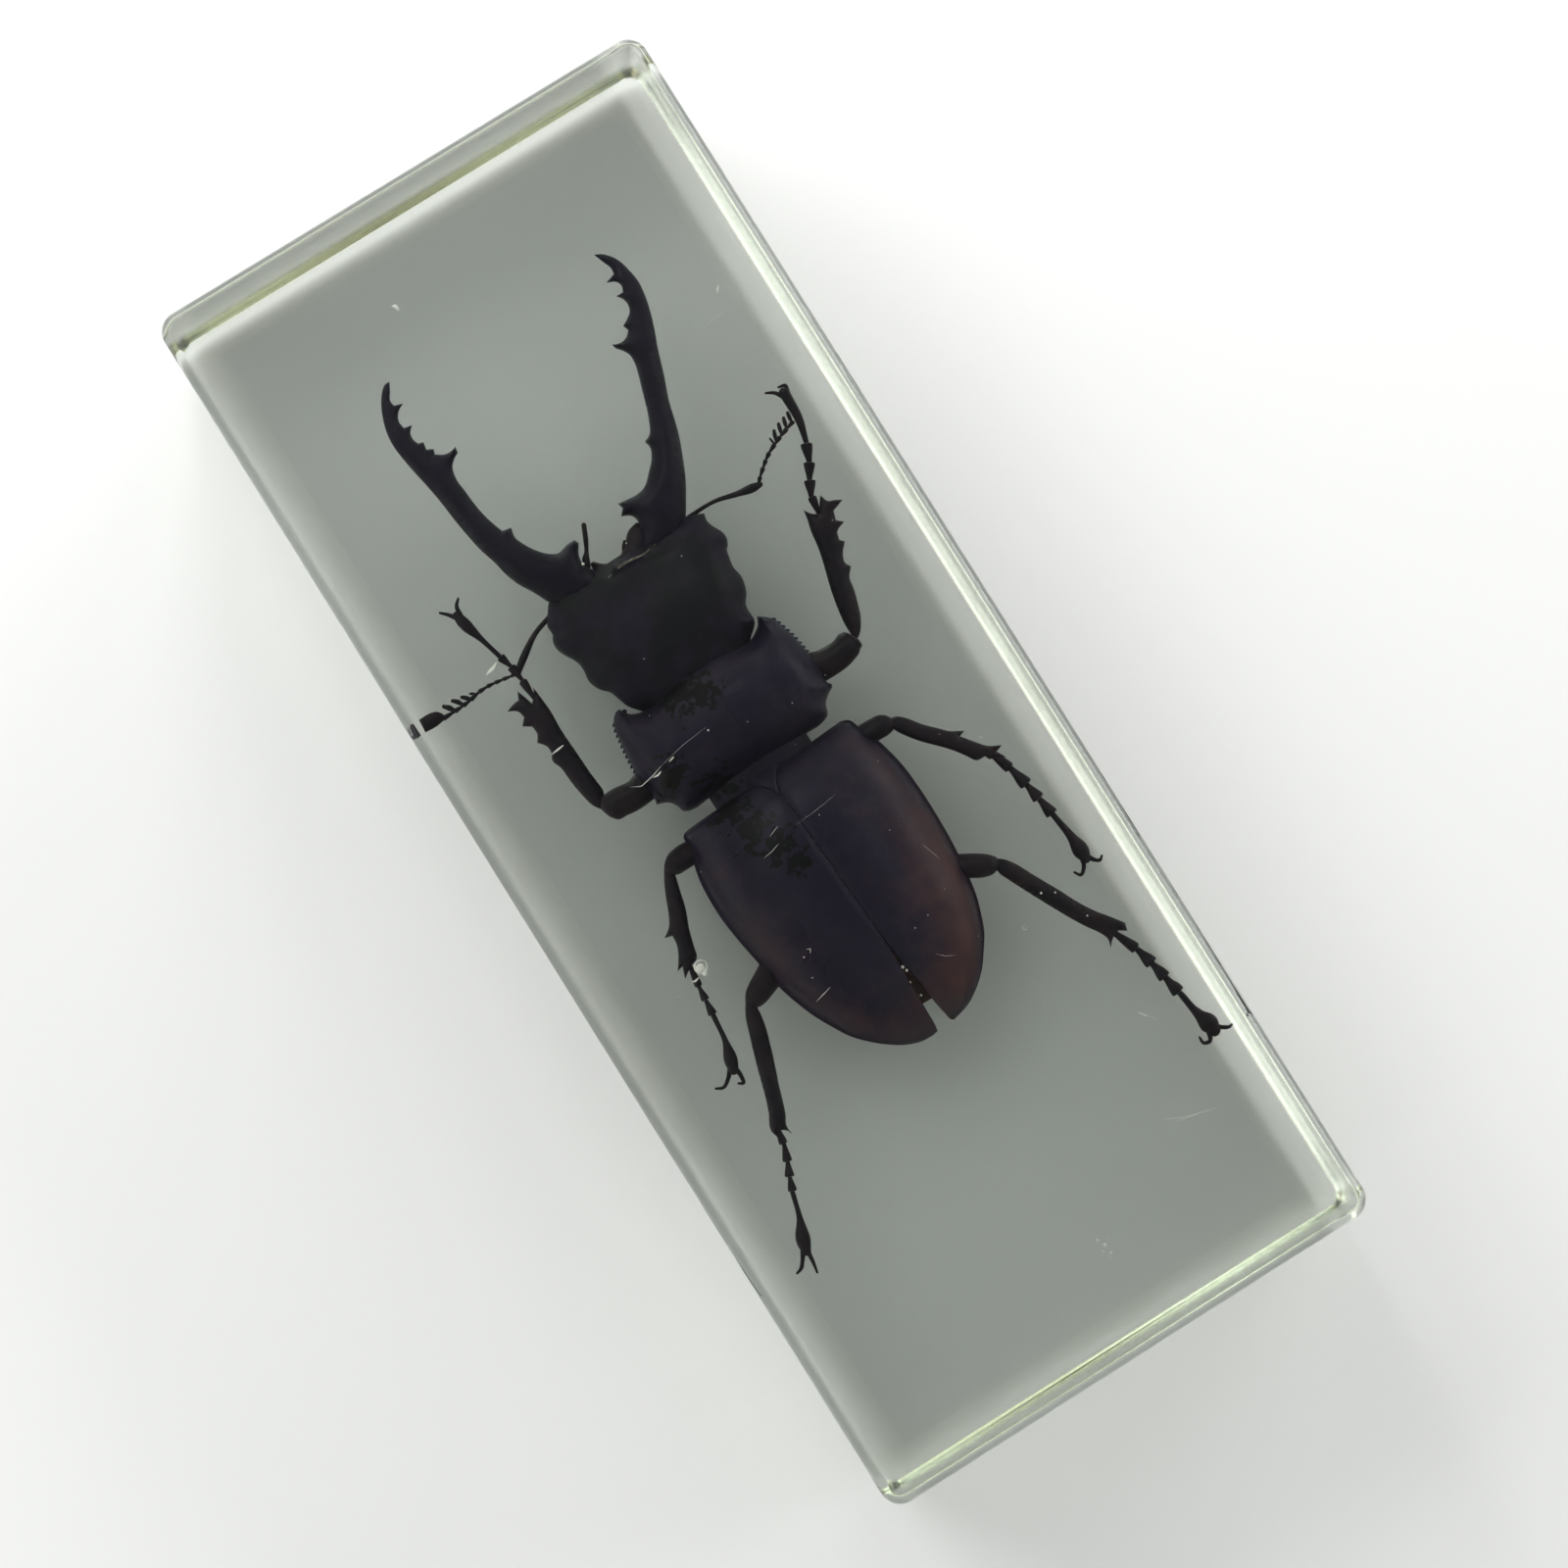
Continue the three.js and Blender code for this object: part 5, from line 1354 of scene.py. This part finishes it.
speck_coat = add(specks, "GeometryNodeSetMaterial", {
    "Geometry": real_specks.outputs["Geometry"], "Material": s_in["Material"],
})
specks.links.new(speck_coat.outputs["Geometry"], s_out["Specks"])
print("tree", specks.name, "with", len(specks.nodes), "nodes")

# %% A list of the marks
MARKS_BELOW = 19.97  # scratches and dust stay just under the top face
DUST_SIZE = 0.08
SCRATCHES = [  # each is points of x and y, and then the width
    ([[-9.7, 4.35], [-8.9, 3.9], [-7.6, 4.15], [-6.7, 4.45]], 0.055),
    ([[-7.75, 4.0], [-7.3, 3.95], [-6.9, 4.1]], 0.14),
    ([[-5.95, 4.4], [-5.4, 4.55]], 0.13),
    ([[-6.9, 4.4], [-4.4, 4.95], [-2.0, 5.2]], 0.018),
    ([[-13.65, 9.88], [-12.45, 10.02]], 0.15),
    ([[-3.6, -6.2], [-2.8, -6.1], [-2.0, -5.85]], 0.034),
    ([[-2.3, -5.0], [-1.3, -4.6]], 0.028),
    ([[0.0, -5.3], [2.0, -5.15], [4.0, -4.9]], 0.013),
    ([[-6.2, -18.2], [-5.4, -18.0], [-4.6, -17.8]], 0.045),
    ([[7.8, -12.0], [8.1, -12.9], [8.35, -13.7]], 0.014),
    ([[4.0, -20.0], [4.6, -20.6], [5.4, -21.0]], 0.014),
    ([[-4.6, -14.2], [-4.3, -14.35], [-4.5, -14.65]], 0.05),
    ([[15.3, -32.6], [15.8, -33.3]], 0.12),
    ([[15.9, -33.3], [16.4, -34.1]], 0.045),
    ([[11.7, -40.6], [14.0, -41.7], [17.0, -42.6]], 0.045),
    ([[13.0, -41.6], [15.2, -42.1]], 0.05),
    ([[9.0, -28.4], [9.6, -27.6]], 0.05),
    ([[17.45, 34.6], [17.9, 35.1]], 0.2),
    ([[15.0, 32.8], [17.3, 33.1]], 0.05),
    ([[-15.6, -11.9], [-14.9, -12.1]], 0.06),
]
DEEP_MARKS = [  # flecks and bubble rings inside the resin: points of x and y, width and height
    ([[-14.75, 18.08], [-14.2, 18.17], [-13.85, 18.28], [-13.5, 18.5]], 0.34, 14.0),
    ([[-5.5, 47.5], [-5.2, 47.3], [-5.15, 46.9]], 0.3, 15.0),
    ([[-13.85, -11.5], [-13.5, -11.65], [-13.1, -11.55]], 0.16, 13.0),
]
# A bubble is drawn as a ring of white scuff: a painted highlight for the light on its rim.
BUBBLE_GLINT_RINGS = [[-12.5, -10.9, 0.5, 0.2, 13.0], [11.2, -22.05, 0.19, 0.09, 15.0]]
FLECKS = [  # x, y, height and size
    [-1.95, 4.9, 19.85, 0.16], [-5.1, -14.65, 19.85, 0.11], [-5.4, -16.4, 19.85, 0.1],
    [13.8, -20.4, 15.0, 0.18], [14.8, -20.95, 15.0, 0.14], [16.0, -23.9, 15.0, 0.14],
    [-3.4, 21.6, 12.5, 0.25], [0.45, 21.2, 12.5, 0.12], [1.2, -19.5, 13.3, 0.3],
    [1.35, -19.9, 13.2, 0.24], [1.0, -20.85, 12.9, 0.26], [1.25, -22.2, 11.9, 0.2],
    [-12.6, -11.0, 13.0, 0.8], [-12.5, -11.5, 13.0, 0.45],
    [2.8, -46.3, 19.85, 0.2], [3.1, -46.9, 19.8, 0.28], [2.7, -47.3, 19.85, 0.16],
    [3.2, -47.7, 19.85, 0.2], [2.9, -48.1, 19.85, 0.14], [3.5, -46.6, 19.85, 0.12],
    [-1.2, -46.9, 19.85, 0.12], [-1.9, -47.5, 19.85, 0.14], [16.35, -7.2, 13.0, 0.16],
]
print(len(SCRATCHES), "scratches,", len(DEEP_MARKS + BUBBLE_GLINT_RINGS), "deep marks,", len(FLECKS), "flecks")


# %% Placing a mark
def from_plane(x, y, z):
    """Where a mark at this height lies, in metres, if it is seen at this x and y of the plane."""
    INDEX = 1.55
    drawn = (z - PLANE) / (CAMERA_PLACE[2] - BLOCK_HIGH.z) / INDEX
    return ((x + (CAMERA_PLACE[0] - x) * drawn) * MM, (y + (CAMERA_PLACE[1] - y) * drawn) * MM,
            z * MM)


def marked_mesh(name, lines):
    """Lines of points in metres, each with its width in millimetres as an attribute."""
    mesh = bpy.data.meshes.new(name)
    points, edges, widths = [], [], []
    for line, width in lines:
        edges += [(len(points) + i, len(points) + i + 1) for i in range(len(line) - 1)]
        points += line
        widths += [width * MM] * len(line)
    mesh.from_pydata(points, edges, [])
    mesh.attributes.new("width", "FLOAT", "POINT").data.foreach_set("value", widths)
    return mesh


print("a scratch at the jaws lies at", [round(c / MM, 2) for c in from_plane(12, 40, MARKS_BELOW)])

# %% Scratches, flecks and painted bubble glints
SCUFF_AND_GLINT_GREY, SCUFF_AND_GLINT_WHITE = (0.75, 0.74, 0.66, 1), (0.95, 0.96, 0.93, 1)
DUST_MARGIN = 4.0  # dust keeps this far from the walls

scuff_and_glint = bpy.data.materials.new("white scuff and bubble glint")
scuff_and_glint.use_nodes = True
scuff_tree = scuff_and_glint.node_tree
scuff_shader = scuff_tree.nodes["Principled BSDF"]
scuff_shader.inputs["Roughness"].default_value = 0.55
chalky = add(scuff_tree, "ShaderNodeTexNoise", {
    "Vector": add(scuff_tree, "ShaderNodeTexCoord").outputs["Object"], "Scale": 3000.0,
})
scuff_tree.links.new(blend_colours(scuff_tree, chalky.outputs["Fac"], SCUFF_AND_GLINT_GREY, SCUFF_AND_GLINT_WHITE),
                     scuff_shader.inputs["Base Color"])

strokes_seen = [([from_plane(x, y, MARKS_BELOW - width / 2) for x, y in line], width)
                for line, width in SCRATCHES]
strokes_seen += [([from_plane(x, y, z) for x, y in line], width) for line, width, z in DEEP_MARKS]
for x, y, radius, width, z in BUBBLE_GLINT_RINGS:
    turns = np.linspace(0.3, 0.3 + 2.1 * math.pi, 22)
    strokes_seen.append(([from_plane(x + radius * math.cos(a), y + radius * math.sin(a), z)
                          for a in turns], width))
scratches_and_bubble_glints = put_in("scratches_and_bubble_glints", run_tree(
    hairlines, "scratches_and_bubble_glints", marked_mesh("scratches_and_bubble_glints", strokes_seen), material=scuff_and_glint))
finish_piece(scratches_and_bubble_glints, scuff_and_glint, "resin")
fleck_points = [([from_plane(x, y, z)], size) for x, y, z, size in FLECKS]
dust_field = BLOCK_HIGH - BLOCK_LOW - Vector((1, 1, 0)) * 2 * DUST_MARGIN
flecks = put_in("flecks", run_tree(
    specks, "flecks", marked_mesh("flecks", fleck_points), length=dust_field.y * MM,
    width=dust_field.x * MM, height=(MARKS_BELOW - DUST_SIZE / 2) * MM,
    dust_size=DUST_SIZE * MM, material=scuff_and_glint))
finish_piece(flecks, scuff_and_glint, "resin")

# %% [markdown]
# ## Table and light
# The floor is a plain pale sheet that reaches to the horizon. A clear block is drawn by what
# surrounds it: a darker ceiling keeps the top face free of glare, a warm band low in the sky
# lights the walls, and soft boxes beside and beyond the block draw the bright lines at its edges.
# The band and most boxes are left out of what the block's outside mirrors, so that no glare hides
# the beetle when the block is looked at from low down.

# %% Floor
FLOOR_REACH = 20.0  # metres
FLOOR_GAP = 0.05 * MM  # keeps the floor clear of the block's underside
floor_mesh = bpy.data.meshes.new("floor")
floor_mesh.from_pydata([(x * FLOOR_REACH, y * FLOOR_REACH, -FLOOR_GAP)
                        for x, y in ((-1, -1), (1, -1), (1, 1), (-1, 1))], [], [(0, 1, 2, 3)])
floor = put_in("floor", floor_mesh)
paper = bpy.data.materials.new("pale floor")
paper.use_nodes = True
paper_shader = paper.node_tree.nodes["Principled BSDF"]
paper_shader.inputs["Base Color"].default_value = (0.80, 0.80, 0.79, 1)
paper_shader.inputs["Roughness"].default_value = 0.8
paper_shader.inputs["Specular IOR Level"].default_value = 0.2
floor_mesh.materials.append(paper)
print("floor:", 2 * FLOOR_REACH, "m wide")

# %% World
HIGH_SKY = (0.80, 0.965, 0.74, 0.08)  # from height, to height, and the brightness at each
LOW_BAND = (0.35, 0.1)  # heights between which the warm band at the horizon sets in
LOW_GLOW = (0.35, 2.7)  # how much brighter the band is: sides, ends
COOL_SKY, WARM_BAND = (0.93, 0.97, 1.0, 1), (1.0, 0.86, 0.52, 1)

world = bpy.data.worlds.new("studio")
bpy.context.scene.world = world
world.use_nodes = True
sky = world.node_tree
direction = add(sky, "ShaderNodeTexCoord").outputs["Generated"]
compass = add(sky, "ShaderNodeSeparateXYZ", {"Vector": direction}).outputs
brightness = remap(sky, compass["Z"], *HIGH_SKY)
rays = add(sky, "ShaderNodeLightPath").outputs
mirrored = math_node(sky, "SUBTRACT", rays["Is Glossy Ray"], rays["Is Transmission Ray"])
plainly_seen = math_node(sky, "MAXIMUM", rays["Is Camera Ray"], mirrored)
low_band = math_node(sky, "MULTIPLY", remap(sky, compass["Z"], *LOW_BAND),
                     math_node(sky, "SUBTRACT", 1.0, plainly_seen))
glow = remap(sky, math_node(sky, "ABSOLUTE", compass["Y"]), 0.7, 0.95, *LOW_GLOW)
background = sky.nodes["Background"]
sky.links.new(math_node(sky, "ADD", brightness, math_node(sky, "MULTIPLY", low_band, glow)),
              background.inputs["Strength"])
sky.links.new(blend_colours(sky, low_band, COOL_SKY, WARM_BAND), background.inputs["Color"])
print("world:", len(sky.nodes), "nodes")

# %% Soft boxes
LIT_PLACE = Vector((0, 0, PLANE))
SOFT_BOXES = {  # place, size, power, and whether the block's outside mirrors it
    "side_box": ((420, 60, 160), (600, 90), 1.4, True),
    "head_box": ((-120, 420, 260), (400, 300), 1.9, False),
    "left_box": ((-420, 20, 110), (420, 160), 0.42, False),
    "end_box": ((34, 150, 50), (40, 100), 0.08, False),
}


def soft_box(name, place, size, power, mirrored):
    """An area light at this place in millimetres, turned towards the beetle."""
    data = bpy.data.lights.new(name, "AREA")
    data.shape = "RECTANGLE"
    data.size, data.size_y = (side * MM for side in size)
    data.energy = power
    lamp = put_in(name, data)
    lamp.visible_camera = False
    lamp.visible_glossy = mirrored
    lamp.location = Vector(place) * MM
    lamp.rotation_euler = (LIT_PLACE - Vector(place)).to_track_quat("-Z", "Y").to_euler()


for name, values in SOFT_BOXES.items():
    soft_box(name, *values)
bpy.context.scene.view_settings.view_transform = "Standard"
print("lights:", list(SOFT_BOXES))

# %% [markdown]
# ## Count
# The pieces and their triangles are counted. The dressed model has to fill the same box as
# the imported one.

# %% Finish
triangles = sum(len(p.vertices) - 2 for piece in pieces for p in piece.data.polygons)
print(len(pieces), "pieces with", triangles, "triangles in all")
